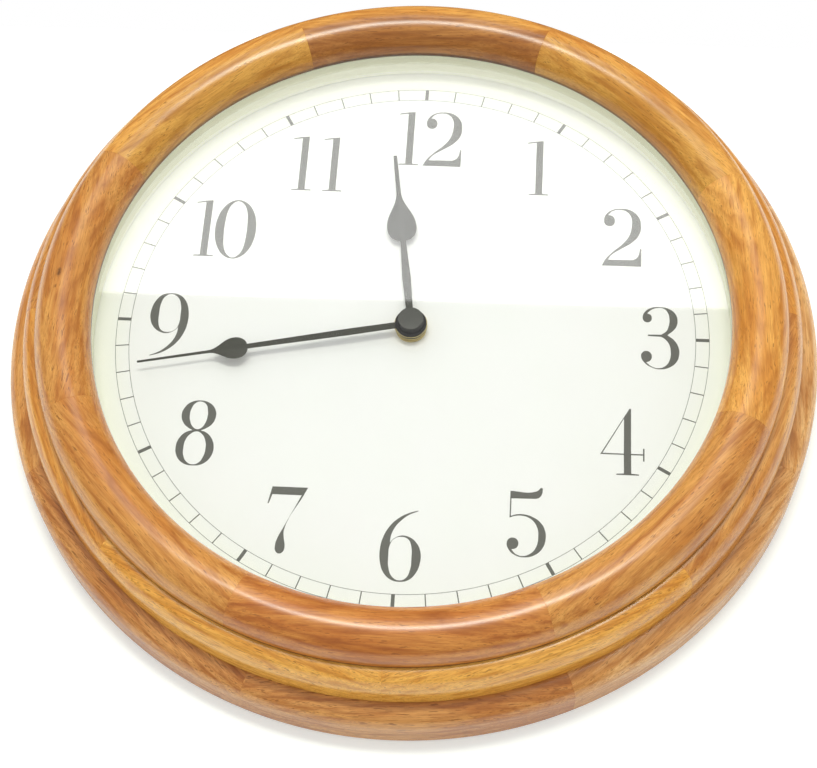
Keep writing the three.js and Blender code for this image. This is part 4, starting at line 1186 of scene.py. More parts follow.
@dataclass
class WoodRing(Assembly):
    """The turned ring of three tiers of glued staves."""

    base_bore: float = 168.0
    base_outer: float = 202.6
    base_front: float = 25.7
    base_round: Pair = (10.3, 9.0)
    back_chamfer: float = 1.2
    middle_bore: float = 160.8
    middle_outer: float = 192.3
    middle_front: float = 47.0
    middle_round: Pair = (7.7, 12.0)
    bead_centre: Pair = (170.2, 49.5)
    bead_radius: float = 13.6
    glue_line: float = 0.1
    joint_groove: float = 0.07
    step: float = 1.25
    front_joints: tuple[float, ...] = (21.3, 64, 110, 156, 203.7, 248, 296.5, 337.6)
    middle_joints: tuple[float, ...] = (43, 88, 134.5, 180.5, 226, 268, 313, 358)
    base_joints: tuple[float, ...] = (20, 65, 110, 155, 199.5, 245, 290, 335)
    edge_spans: int = 12
    bead_spans: int = 40
    knotted: str = "front_stave_6"
    knot: Pair = (-1.5, 172.0)
    # Staves whose outer side is painted lighter, as painted light where more light falls.
    lit_outer_staves: tuple[str, ...] = ("front_stave_1", "front_stave_7", "front_stave_8")
    lit_outer_tone: Tone = Tone.HONEY
    recessed: str = "base_stave_8"

    def base_profile(self) -> list[Pair]:
        """Give the base tier's section.

        Returns:
            Radius and height of each point.
        """
        corner = (self.base_outer - self.base_round[0], self.base_front - self.base_round[1])
        return [
            (self.base_bore, 0),
            (self.base_outer - self.back_chamfer, 0),
            (self.base_outer, self.back_chamfer),
            *arc_profile(corner, self.base_round, 0, 90, self.edge_spans),
            (self.base_bore, self.base_front),
        ]

    def middle_profile(self) -> list[Pair]:
        """Give the middle tier's section.

        Returns:
            Radius and height of each point.
        """
        back = self.base_front + self.glue_line
        corner = (self.middle_outer - self.middle_round[0],
                  self.middle_front - self.middle_round[1])
        return [
            (self.middle_bore, back),
            (self.middle_outer, back),
            *arc_profile(corner, self.middle_round, 0, 90, self.edge_spans),
            (self.middle_bore, self.middle_front),
        ]

    def front_profile(self) -> list[Pair]:
        """Give the front bead's section.

        Returns:
            Radius and height of each point.
        """
        back = self.middle_front + self.glue_line
        start = -math.degrees(math.asin((self.bead_centre[1] - back) / self.bead_radius))
        radii = (self.bead_radius, self.bead_radius)
        bead = arc_profile(self.bead_centre, radii, start, 180, self.bead_spans)
        return [(self.bead_centre[0] - self.bead_radius, back), *bead]

    def tiers(self) -> list[Tier]:
        """List the three tiers with their boards.

        Returns:
            The base tier, the middle tier and the front one.
        """
        front = [
            (Tone.TAWNY, (150, -30), (0.03, 0.02), 0.35),
            (Tone.HONEY, (172, -24), (0.05, 0.16), 0.4),
            (Tone.AMBER, (120, -40), (0.05, 0.03), 0.5),
            (Tone.RUST, (190, -34), (-0.04, 0.05), 0.3),
            (Tone.AMBER, (140, 90), (0.02, -0.03), 0.3),
            (Tone.AMBER, (170, -20), (-0.03, -0.14), 0.6),
            (Tone.TAWNY, (205, -20), (0.04, 0.02), 0.4),
            (Tone.BROWN, (130, -60), (0.02, 0.03), 0.4),
        ]
        middle = [
            (Tone.HONEY, (190, -20), (0.02, 0.04), 0.5),
            (Tone.BUFF, (150, -30), (0.04, 0.02), 0.5),
            (Tone.GOLDEN, (230, 10), (0.03, 0.02), 0.8),
            (Tone.GOLDEN, (140, 70), (-0.04, 0.03), 0.8),
            (Tone.HONEY, (210, -10), (0.02, 0.05), 0.5),
            (Tone.AMBER, (150, -20), (0.05, -0.02), 0.6),
            (Tone.AMBER, (180, 80), (0.03, 0.03), 0.5),
            (Tone.HONEY, (220, -30), (-0.03, 0.04), 0.5),
        ]
        base = [
            (Tone.RUSSET, (200, -60), (0.02, 0.02), 0.6),
            (Tone.STRAW, (160, -30), (0.03, 0.04), 0.5),
            (Tone.STRAW, (230, -20), (0.04, 0.02), 0.6),
            (Tone.RUSSET, (150, 60), (-0.02, 0.05), 0.8),
            (Tone.RUSSET, (240, 10), (0.03, 0.03), 0.8),
            (Tone.BUFF, (170, -50), (0.04, 0.02), 0.6),
            (Tone.RUSSET, (210, -40), (0.02, 0.03), 0.5),
            (Tone.RUSSET, (150, 70), (0.03, -0.02), 0.5),
        ]
        return [
            Tier("base", self.base_profile(), self.base_joints, base),
            Tier("middle", self.middle_profile(), self.middle_joints, middle),
            # The front staves get painted shade below the bead's middle height, in the crease on
            # the middle tier.
            Tier("front", self.front_profile(), self.front_joints, front, self.bead_centre[1]),
        ]

    def stave(self, name: str, profile: list[Pair], start: float, end: float) -> bpy.types.Object:
        """Sweep a section between two joints, with a hairline groove at each end.

        Args:
            name: the piece's name.
            profile: the tier's section.
            start: clock angle of its first joint.
            end: clock angle of its last joint.

        Returns:
            The stave.
        """
        middle = [sum(part) / len(profile) for part in zip(*profile)]
        shrunk = []
        for radius, height in profile:
            away = Vector((radius - middle[0], height - middle[1]))
            inner = away - away.normalized() * self.joint_groove
            shrunk.append((middle[0] + inner.x, middle[1] + inner.y))
        groove = math.degrees(self.joint_groove / middle[0])
        count = math.ceil((end - start) / self.step)
        angles = [start + groove + (end - start - 2 * groove) * i / count
                  for i in range(count + 1)]
        rows = [(start, shrunk), *[(angle, profile) for angle in angles], (end, shrunk)]
        sections = [[spot(angle, *point) for point in section] for angle, section in rows]
        return Mesh().sweep(sections).done(name)

    def build(self) -> None:
        """Make the three tiers."""
        for level, tier in enumerate(self.tiers()):
            for i, start in enumerate(tier.joints):
                end = tier.joints[(i + 1) % len(tier.joints)]
                end += 360 if end < start else 0
                name = f"{tier.name}_stave_{i + 1}"
                tone, heart, run_out, fleck = tier.boards[i]
                oak = Oak(tone, (start + end) / 2, heart, run_out, level * 8 + i + 1, fleck,
                          knot=self.knot if name == self.knotted else None, painted_shade_below=tier.painted_shade_below,
                          outside=self.lit_outer_tone if name in self.lit_outer_staves else None)
                stave = self.stave(f"oak_{name}", tier.profile, start, end)
                if name == self.recessed:
                    carve(stave, Hanger().recess_tools())
                self.fit(stave, oak, "frame", name)


@dataclass
class Hanger(Assembly):
    """Keyhole plate let into the top of the base tier, with its two screws."""

    axis_up: float = 189.0
    slot_radius: float = 2.4
    entry_radius: float = 4.8
    entry_drop: float = 9.0
    width: float = 48.0
    top: float = 7.0
    bottom: float = -15.0
    thickness: float = 2.0
    corner: float = 3.0
    clearance: float = 0.3
    pocket_half: float = 8.0
    pocket_end: float = 5.5
    pocket_depth: float = 12.0
    screw_inset: float = 5.0
    screw_head: float = 3.2
    screw_shank: float = 1.5
    screw_length: float = 15.0
    screw_sink: float = 1.6
    cross_arm: Pair = (1.9, 0.7)
    cross_floor: float = 1.2
    edge: float = 0.2

    def rounded(self, grow: float) -> list[Pair]:
        """Give the plate's outline with round corners.

        Args:
            grow: how far it stands outside the plate's own.

        Returns:
            Places across and up from the hands' axis.
        """
        half = self.width / 2 + grow
        centre = self.axis_up + (self.top + self.bottom) / 2
        rise = (self.top - self.bottom) / 2 + grow
        radius = self.corner + grow
        outline = []
        for i, (right, up) in enumerate(((1, 1), (-1, 1), (-1, -1), (1, -1))):
            middle = (right * (half - radius), centre + up * (rise - radius))
            outline += arc_profile(middle, (radius, radius), 90 * i, 90 * (i + 1), 6)
        return outline

    def screw_places(self) -> list[Pair]:
        """Give the two screws' places."""
        centre = self.axis_up + (self.top + self.bottom) / 2
        return [(side * (self.width / 2 - self.screw_inset), centre) for side in (-1, 1)]

    def recess_tools(self) -> list[bpy.types.Object]:
        """Make the solids that the plate's bed and the pocket for a screw's head take away.

        Returns:
            The two cutting solids.
        """
        bed = Mesh().prism(self.rounded(self.clearance), -OVERCUT, self.thickness + self.clearance)
        low = self.axis_up - self.entry_drop - self.pocket_end
        high = self.axis_up + self.pocket_end
        side = self.pocket_half
        corners = [(-side, low), (side, low), (side, high), (-side, high)]
        pocket = Mesh().prism(corners, -OVERCUT, self.pocket_depth)
        return [bed.done("bed"), pocket.done("pocket")]

    def plate(self) -> bpy.types.Object:
        """Make the pressed plate with its keyhole and countersinks.

        Returns:
            The plate.
        """
        outer = Mesh().prism(self.rounded(0), 0, self.thickness).done("keyhole_plate_pressed")
        meet = math.degrees(math.acos(self.slot_radius / self.entry_radius))
        slot = arc_profile((0, self.axis_up), (self.slot_radius, self.slot_radius), 0, 180, 16)
        entry = arc_profile((0, self.axis_up - self.entry_drop),
                            (self.entry_radius, self.entry_radius), 180 - meet, 360 + meet, 32)
        keyhole = Mesh().prism([*slot, *entry], -OVERCUT, self.thickness + OVERCUT).done("keyhole")
        bore = self.screw_shank + self.clearance
        head = self.screw_head + self.clearance
        beyond = self.thickness + 3 * OVERCUT
        profile = [(0, -OVERCUT), (head, -OVERCUT), (head, 0), (bore, self.screw_sink),
                   (bore, beyond), (0, beyond)]
        sinks = [Mesh().lathe(profile, centre, 48).done("sink") for centre in self.screw_places()]
        return bevelled(carve(outer, [keyhole, *sinks]), self.edge)

    def screw(self, name: str, centre: Pair) -> bpy.types.Object:
        """Make a countersunk screw with a cross recess.

        Args:
            name: the piece's name.
            centre: its place.

        Returns:
            The screw.
        """
        body = Mesh().lathe([
            (0, 0.05), (self.screw_head - 0.3, 0.05), (self.screw_head, 0.25),
            (self.screw_shank, self.screw_sink),
            (self.screw_shank, self.screw_length - 2 * self.screw_shank), (0, self.screw_length),
        ], centre, 48).done(name)
        return carve(body, cross_tools(centre, self.cross_arm, -OVERCUT / 2, self.cross_floor))

    def build(self) -> None:
        """Make the plate and its screws."""
        self.fit(self.plate(), ZINC, "frame", "keyhole_plate")
        for i, centre in enumerate(self.screw_places(), 1):
            screw = self.screw(f"keyhole_screw_{i}_slotted", centre)
            self.fit(screw, ZINC, "frame", f"keyhole_screw_{i}")


class Glyph(Enum):
    """Outlines of the dial's numbers, in millimetres from the middle of each.

    Each string is a closed outline of places across and up, and a c marks a corner.
    """

    ONE = ("1.8,17.4c 1.8,-15.9c 5.1,-16.2c 5.1,-16.8c -5.2,-16.8c -5.2,-16.2c -1.8,-15.9c "
           "-1.8,16.2c -6.4,15.5c -6.4,16.1c -2.0,17.0c",)
    TWO = ("-9.3,10.5 -8.3,14.2 -5,17.1 -0.8,18 4.2,17.2 8.2,13.6 9.6,8.3 8.6,2.2 5.2,-2.3 0.2,-6 "
           "-5.2,-10.1 -7.2,-13.1c 5.6,-12.9c 7.8,-11.2 9.2,-5.9c 9.8,-5.9c 9.8,-16.7c "
           "-10.2,-16.7c -8.2,-12.6 -4.6,-8.3 0.4,-3.3 3.6,1.5 5,8 4.6,13 2.2,16.4 -1.2,17.3 "
           "-4.9,16.4 -7.2,13.9c -5,13.3 -3.7,10.6 -4.6,7.9 -6.6,7.1 -8.6,8.2",)
    THREE = ("-8.6,11.6 -7.5,14.9 -4.4,17.3 0,18 4.8,16.9 7.8,14 8.7,10.3 7.7,6.2 3.6,1.9c 7,-0.9 "
             "9,-4.6 9.4,-8.4 8.2,-12.8 5,-16 0.6,-17.5 -4,-16.7 -7.6,-14.2 -9.4,-10.6 -8.6,-8.2 "
             "-6.7,-7.4 -4.8,-8.4 -4.1,-10.6 -5,-12.9 -6.9,-13.8c -4.2,-16.1 -0.6,-16.9 2.9,-15.2 "
             "4.8,-11.6 5.2,-7.4 4.4,-3.2 2.2,-0.2 0.3,0.9c -6,1.1c -6,1.9c 0.6,2.1c 3.2,4.3 "
             "4.4,7.6 4.7,11 4,14.6 2.2,16.9 -0.4,17.4 -4,16.4 -6.4,14c -4.6,13.2 -4.1,11.4 "
             "-4.8,9.5 -6.4,8.9 -8,9.7",)
    FOUR = ("3.5,18.9c 4.3,18.9c 4.4,-5.4c 10.1,-5.4c 10.1,-2.4c 10.8,-2.4c 10.8,-9.2c 10.1,-9.2c "
            "10.1,-6.1c 4.4,-6.1c 4.5,-15.9c 8.2,-16.2c 8.2,-16.8c -2.6,-16.8c -2.6,-16.2c "
            "1,-15.9c 0.9,-6.1c -10.4,-6.1c",
            "0.9,13.4c 0.9,-5.4c -9.3,-5.4c")
    FIVE = ("-7.4,16.6c 5.2,16.9 7,18.8c 8,18.4c 7.6,15.4 6.4,13.6 4.8,12.9c -6.8,12.7c -6.8,3.6c "
            "-4.2,4.5 -1.2,4.7 3.6,3.4 7.6,0.4 9.6,-3.6 9.9,-7.6 8.6,-12.2 5.2,-15.8 0.2,-17.3 "
            "-4.4,-16.3 -7.4,-13.4 -8.3,-10.4 -7.4,-8.2 -5.5,-7.5 -3.5,-8.4 -2.8,-10.5 -3.8,-12.7 "
            "-6,-13.5c -3.8,-15.8 -0.4,-16.6 3.4,-14.9 5.7,-11.4 6.4,-6.6 5.9,-2.2 3.8,1.4 1,3.3 "
            "-1.8,3.9 -4.6,3.7 -7.4,2.7c",)
    SIX = ("7.8,18.8c 2.8,17.1 -2,14 -5.6,9.9 -8.3,4.2 -9.4,-2.2 -8.9,-8.5 -6.8,-13.8 -3.2,-17 "
           "0.7,-17.8 4.8,-16.8 8.1,-13.2 9.9,-7.4 9.7,-2.2 7.6,2.2 4.4,4.8 0.8,5.6 -2.6,4.3 "
           "-4.9,1.9c -4.5,5.6 -3,9.6 -0.2,13.3 3.3,16.3 7.5,18.3c",
           "0.6,4.9 3.6,3.8 5.3,0.2 5.7,-5.5 5.4,-11.5 3.6,-15.8 0.6,-17.1 -2.8,-15.4 -4.8,-10.8 "
           "-5.2,-5.5 -4.8,0.6 -3,3.7")
    SEVEN = ("-9.9,16.8c 7.2,16.8c 5.4,12.6c -2.4,-5.6 -2.1,-9.6 -1.3,-13.9 -1.9,-16.6 -3.7,-17.7 "
             "-5.4,-16.6 -5.9,-13.8 -5,-9.4 -3.3,-5.4 4.5,12.7c -9.6,12.7c -10.9,7.9c -11.5,7.9c",)
    EIGHT = ("0.6,18.1 5.6,16.8 8.6,13.3 9.2,9.6 7.8,5.4 4.6,2.7 2.6,1.7c 5.4,0.7 8.4,-2.4 9.9,-7 "
             "9,-12.2 5.6,-16.1 0.7,-17.3 -4.4,-16.1 -7.7,-12.3 -8.6,-7.2 -7.2,-2.4 -4.2,0.7 "
             "-1.4,1.7c -3.5,2.8 -6.4,5.6 -7.7,9.8 -6.8,13.6 -4,16.8",
             "0.7,17.5 3.6,16.2 4.9,12.8 5.1,9.6 4.3,5.6 2.6,3 0.7,2.3 -1.2,3.2 -3,6.2 -3.7,10 "
             "-3.2,13.6 -1.6,16.5",
             "0.7,1.1 3.6,-0.4 5.4,-3.6 6,-8 5.2,-12.6 3.2,-15.8 0.7,-16.7 -2,-15.8 -4.2,-12.6 "
             "-4.8,-8 -4.2,-3.6 -2.2,-0.4")
    NOUGHT = ("0,17.9 4.2,16.5 7.8,12.3 10,6.2 10.6,0 10,-6.2 7.8,-12.3 4.2,-16.5 0,-17.9 "
              "-4.2,-16.5 -7.8,-12.3 -10,-6.2 -10.6,0 -10,6.2 -7.8,12.3 -4.2,16.5",
              "0,17.2 3,15.4 5,11 5.7,5.6 5.9,0 5.7,-5.6 5,-11 3,-15.4 0,-17.2 -3,-15.4 -5,-11 "
              "-5.7,-5.6 -5.9,0 -5.7,5.6 -5,11 -3,15.4")

    def loops(self, across: float, up: float, turned: bool = False) -> list[Outline]:
        """Give the outlines moved to a place on the dial.

        Args:
            across: place of the number's middle, towards 3.
            up: and towards 12.
            turned: whether the number stands on its head, as a 6 does for a 9.

        Returns:
            The closed outlines.
        """
        sign = -1 if turned else 1
        moved = []
        for text in self.value:
            points = [(word.rstrip("c").split(","), word.endswith("c")) for word in text.split()]
            moved.append([(across + sign * float(x), up + sign * float(y), corner)
                          for (x, y), corner in points])
        return moved


@dataclass
class Face(Assembly):
    """Dial with its print, glass, spacer and backing board."""

    dial_front: float = 28.0
    print_sink: float = 0.01
    print_height: float = 0.03
    tick_rise: float = 0.004
    track_outer: float = 148.0
    track_inner: float = 141.3
    circle_width: float = 0.24
    tick_width: float = 0.55
    hour_tick_width: float = 1.75
    spacer: Pair = (158.9, 160.2)
    spacer_heights: Pair = (28.3, 43.7)
    board_radius: float = 166.5
    board_bore: float = 4.6
    board_heights: Pair = (22.7, 25.7)
    board_chamfer: float = 0.5
    disc_steps: int = 240
    screw_ring: float = 163.7
    screw_angles: tuple[float, ...] = (20, 140, 260)
    screw_head: float = 2.9
    screw_head_height: float = 1.8
    screw_shank: float = 1.2
    screw_length: float = 13.0
    screw_edge: float = 0.4
    cross_arm: Pair = (1.7, 0.65)
    cross_depth: float = 1.1

    def numbers(self) -> dict[str, list[Outline]]:
        """Give each number's outlines at its place.

        Returns:
            The closed outlines of each number.
        """
        one, two = Glyph.ONE, Glyph.TWO
        return {
            "12": one.loops(-7.3, 116) + two.loops(10.2, 115.7),
            "1": one.loops(61.3, 99.7),
            "2": two.loops(104.6, 58.2),
            "3": Glyph.THREE.loops(123.7, 0.3),
            "4": Glyph.FOUR.loops(105.2, -58.6),
            "5": Glyph.FIVE.loops(59.9, -102.7),
            "6": Glyph.SIX.loops(1.7, -117.2),
            "7": Glyph.SEVEN.loops(-51.3, -105.8),
            "8": Glyph.EIGHT.loops(-101.7, -62.5),
            "9": Glyph.SIX.loops(-121.9, -1.7, turned=True),
            "10": one.loops(-109.3, 55.6) + Glyph.NOUGHT.loops(-94.2, 55.7),
            "11": one.loops(-62.5, 97.9) + one.loops(-46.3, 97.9),
        }

    def track(self) -> bpy.types.Object:
        """Make the minute track: two circles, sixty ticks and bolder ticks at the hours.

        Returns:
            The track, as one piece.
        """
        mesh = Mesh()
        low = self.dial_front - self.print_sink
        high = self.dial_front + self.print_height
        half = self.circle_width / 2
        for radius in (self.track_inner, self.track_outer):
            mesh.lathe([(radius - half, low), (radius + half, low), (radius + half, high),
                        (radius - half, high)], steps=self.disc_steps)
        inner, outer = self.track_inner - half / 2, self.track_outer + half / 2
        for minute in range(60):
            width = self.tick_width if minute % 5 else self.hour_tick_width
            turn = math.radians(6 * minute)
            out = Vector((math.sin(turn), math.cos(turn)))
            beside = Vector((out.y, -out.x)) * width / 2
            corners = [out * radius + side * beside for radius, side in
                       ((inner, -1), (outer, -1), (outer, 1), (inner, 1))]
            mesh.prism([tuple(corner) for corner in corners], low, high + self.tick_rise)
        return mesh.done("minute_track")

    def board_screw(self, name: str, angle: float) -> bpy.types.Object:
        """Make a pan-head screw of the backing board.

        Args:
            name: the piece's name.
            angle: its clock angle.

        Returns:
            The screw.
        """
        turn = math.radians(angle)
        centre = (self.screw_ring * math.sin(turn), self.screw_ring * math.cos(turn))
        seat = self.board_heights[0]
        top = seat - self.screw_head_height
        edge = seat - self.screw_edge
        dome = arc_profile((0, edge), (self.screw_head, edge - top), -90, 0, 8)
        profile = [(0, top), *dome[1:], (self.screw_head, seat), (self.screw_shank, seat),
                   (self.screw_shank, seat + self.screw_length - 2 * self.screw_shank),
                   (0, seat + self.screw_length)]
        body = Mesh().lathe(profile, centre, 40).done(name)
        floor = top + self.cross_depth
        return carve(body, cross_tools(centre, self.cross_arm, top - OVERCUT, floor))

    def disc(self, name: str, profile: list[Pair]) -> bpy.types.Object:
        """Turn a wide disc or band about the hands' axis."""
        return Mesh().lathe(profile, steps=self.disc_steps).done(name)

    def build(self) -> None:
        """Make the dial's print and the discs round it."""
        self.dress_node("dial", DialPaper())
        self.dress_node("glass", FloatGlass())
        ink = PrintInk()
        low, high = self.dial_front - self.print_sink, self.dial_front + self.print_height
        for number, loops in self.numbers().items():
            self.fit(flat_shape(f"number_{number}", loops, low, high), ink, "frame")
        self.fit(self.track(), ink, "frame")
        inner, outer = self.spacer
        back, front = self.spacer_heights
        strip = self.disc("spacer_strip", [(inner, back), (outer, back), (outer, front),
                                           (inner, front)])
        self.fit(strip, Card(), "frame", "spacer_ring")
        back, front = self.board_heights
        board = self.disc("hardboard_disc", [
            (self.board_bore, back), (self.board_radius - self.board_chamfer, back),
            (self.board_radius, back + self.board_chamfer), (self.board_radius, front),
            (self.board_bore, front)])
        self.fit(board, Hardboard(), "frame", "backing_board")
        for i, angle in enumerate(self.screw_angles, 1):
            screw = self.board_screw(f"pan_screw_{i}", angle)
            self.fit(screw, ZINC, "frame", f"board_screw_{i}")


@dataclass(frozen=True)
class SpadeHand:
    """One spade hand.

    Attributes:
        name: the node that it stands for.
        body: the body that it rides on.
        direction: clock angle in which it points.
        reach: distance of its tip from the axis.
        shares: how far along the reach the neck, the bulb's widest place, its root and the waist
            are.
        tip, neck, bulb, root, waist, hub: its widths at these places and at the axis.
        heights: the boss's back and front.
        bore: radius of the boss's hole.
    """

    name: str
    body: str
    direction: float
    reach: float
    shares: tuple[float, float, float, float]
    tip: float
    neck: float
    bulb: float
    root: float
    waist: float
    hub: float
    heights: Pair
    bore: float


@dataclass
class Hands(Assembly):
    """Hour and minute hand with their bosses, the cap, and the washer and nut under them."""

    hour: SpadeHand = SpadeHand(
        "hour_hand", "hour_work", direction=352, reach=102.6, shares=(0.78, 0.563, 0.487, 0.273),
        tip=1.9, neck=2.3, bulb=15.1, root=2.8, waist=4.3, hub=3.0, heights=(31.9, 33.0), bore=2.9)
    minute: SpadeHand = SpadeHand(
        "minute_hand", "minute_work", direction=258.3, reach=136.6,
        shares=(0.743, 0.643, 0.599, 0.234), tip=1.0, neck=1.4, bulb=11.8, root=2.5, waist=3.6,
        hub=3.2, heights=(33.6, 35.4), bore=1.9)
    sheet: float = 0.5
    sheet_edge: float = 0.12
    round_share: float = 0.58
    taper_share: float = 0.42
    arc_steps: int = 16
    boss_radius: float = 8.2
    boss_edge: float = 0.3
    rim_height: float = 0.4
    rim_flange: float = 0.35
    rim_chamfer: Pair = (0.15, 0.12)
    cap_radius: float = 6.6
    cap_heights: Pair = (35.7, 39.5)
    cap_chamfer: Pair = (0.15, 0.2)
    cap_hollow: Pair = (1.9, 1.9)
    cap_edge: float = 0.15
    cap_top: float = 6.2
    cap_face: float = 0.35
    washer: Triple = (7.6, 28.3, 29.1)
    washer_chamfers: Pair = (0.1, 0.2)
    nut_edge: float = 0.15
    bush_bore: float = 4.3
    edge_spans: int = 5
    # Darker than the hands' black: painted shade, where the cap shadows the bosses.
    boss_shade_paint: BlackPaint = BlackPaint((32, 30, 29))
    # The cap's black, made darker than its face: painted shade on the cap's side.
    cap_shade_paint: BlackPaint = BlackPaint((36, 34, 32))

    def outline(self, hand: SpadeHand) -> list[Pair]:
        """Give a hand's flat outline, turned to its direction.

        Args:
            hand: the hand's sizes.

        Returns:
            Places across and up from the hands' axis.
        """
        neck, bulb, root, waist = (share * hand.reach for share in hand.shares)

        def bezier(points: Sequence[Pair]) -> list[Pair]:
            """Give the points of a cubic curve after its first.

            Args:
                points: where it starts, its two handles and where it ends.

            Returns:
                Places across and up from the hands' axis.
            """
            made = []
            for i in range(1, self.arc_steps + 1):
                t = i / self.arc_steps
                weights = ((1 - t) ** 3, 3 * t * (1 - t) ** 2, 3 * t * t * (1 - t), t ** 3)
                made.append(tuple(sum(w * p[k] for w, p in zip(weights, points)) for k in (0, 1)))
            return made

        def between(first: float, second: float, share: float) -> float:
            """Give the value at a share of the way from one to another."""
            return first + (second - first) * share

        right = [
            (hand.hub / 2, 0), (hand.waist / 2, waist), (hand.root / 2, root),
            *bezier([(hand.root / 2, root), (hand.bulb / 2 * self.round_share, root),
                     (hand.bulb / 2, between(bulb, root, self.round_share)),
                     (hand.bulb / 2, bulb)]),
            *bezier([(hand.bulb / 2, bulb), (hand.bulb / 2, between(bulb, neck, self.taper_share)),
                     (hand.neck / 2, between(neck, bulb, self.taper_share)),
                     (hand.neck / 2, neck)]),
            (hand.tip / 2, hand.reach),
        ]
        whole = right + [(-x, y) for x, y in reversed(right)]
        turn = math.radians(hand.direction)
        cos, sin = math.cos(turn), math.sin(turn)
        return [(x * cos + y * sin, -x * sin + y * cos) for x, y in whole]

    def build_hand(self, hand: SpadeHand) -> None:
        """Make a hand's sheet, its boss and the bright rim of the boss.

        Args:
            hand: the hand's sizes.
        """
        back, front = hand.heights
        low = (back + front - self.sheet) / 2
        sheet = Mesh().prism(self.outline(hand), low, low + self.sheet).done(f"{hand.name}_sheet")
        hole = Mesh().lathe([(0, low - OVERCUT), (hand.bore, low - OVERCUT),
                             (hand.bore, low + 2 * OVERCUT), (0, low + 2 * OVERCUT)], steps=48)
        sheet = bevelled(carve(sheet, [hole.done("hole")]), self.sheet_edge)
        self.fit(sheet, BlackPaint(), hand.body, hand.name)
        rim = back + self.rim_height
        wall = self.boss_radius - self.rim_flange
        boss = Mesh().lathe([(hand.bore, rim), (wall, rim), *self.edge(wall, front, self.boss_edge),
                             (hand.bore, front)])
        self.fit(boss.done(f"{hand.name}_boss"), self.boss_shade_paint, hand.body)
        across, up = self.rim_chamfer
        ring = Mesh().lathe([(hand.bore, back), (self.boss_radius - across, back),
                             (self.boss_radius, back + up), (self.boss_radius, rim),
                             (hand.bore, rim)])
        self.fit(ring.done(f"{hand.name}_rim"), BRASS, hand.body)

    def edge(self, radius: float, top: float, size: float) -> list[Pair]:
        """Give the section of a turned piece's front edge, rounded by a size."""
        return arc_profile((radius - size, top - size), (size, size), 0, 90, self.edge_spans)

    def cap(self) -> None:
        """Make the hub cap: a black body with painted shade on its side, and a paler face."""
        back, front = self.cap_heights
        seam = front - self.cap_face
        across, up = self.cap_chamfer
        bore, depth = self.cap_hollow
        body = Mesh().lathe([
            (0, back + depth), (bore, back + depth), (bore, back), (self.cap_radius - across, back),
            (self.cap_radius, back + up), (self.cap_top, seam), (0, seam)])
        self.fit(body.done("hub_cap_turned"), self.cap_shade_paint, "minute_work", "hub_cap")
        face = Mesh().lathe([(0, seam), (self.cap_top, seam),
                             *self.edge(self.cap_top, front, self.cap_edge), (0, front)])
        self.fit(face.done("hub_cap_face"), CAP_PLASTIC, "minute_work")

    def build(self) -> None:
        """Make both hands, the cap, the washer and the nut."""
        self.build_hand(self.hour)
        self.build_hand(self.minute)
        self.cap()
        radius, back, front = self.washer
        small, large = self.washer_chamfers
        washer = Mesh().lathe([
            (self.bush_bore, back), (radius - small, back), (radius, back + small),
            (radius, front - large), (radius - large, front), (self.bush_bore, front)])
        self.fit(washer.done("washer_turned"), BRASS, "frame", "brass_washer")
        self.fit(refined("hex_nut", "nut_cut", self.nut_edge), BRASS, "frame", "hex_nut")
        self.dress_node("threaded_bush", BRASS)


@dataclass
class Movement(Assembly):
    """Black moulded movement with its cell, its contacts and the train inside it."""

    case_edge: float = 0.35
    cover_edge: float = 0.25
    knob_edge: float = 0.15
    contact_edge: float = 0.08
    cell_edge: float = 0.3
    band_from: float = 18.0

    def build(self) -> None:
        """Make the outside pieces finely and dress the inside ones as they are."""
        fine = [
            ("movement_case", "case_moulded", self.case_edge, CASE_PLASTIC, "frame"),
            ("movement_cover", "cover_moulded", self.cover_edge, CASE_PLASTIC, "frame"),
            ("setting_knob", "knob_moulded", self.knob_edge, KNOB_PLASTIC, "knob"),
            ("contact_plus", "contact_plus_bent", self.contact_edge, ZINC, "frame"),
            ("contact_minus", "contact_minus_bent", self.contact_edge, ZINC, "frame"),
            ("rubber_washer", "washer_rubber_ring", self.knob_edge, Rubber(), "frame"),
            ("battery", "cell_wrapped", self.cell_edge, BatteryWrap(self.band_from), "frame"),
        ]
        for node, name, width, finish, body in fine:
            self.fit(refined(node, name, width), finish, body, node)
        plain = {
            STATOR_STEEL: ["stator"],
            CopperWinding(): ["coil"],
            MAGNET: ["rotor"],
            CircuitLaminate(): ["circuit_board"],
            ZINC: ["quartz_crystal"],
            GEAR_PLASTIC: ["train_plate", "intermediate_wheel", "seconds_wheel", "third_wheel",
                           "centre_wheel", "minute_wheel", "hour_wheel", "minute_arbor"],
        }
        for finish, nodes in plain.items():
            for node in nodes:
                self.dress_node(node, finish)


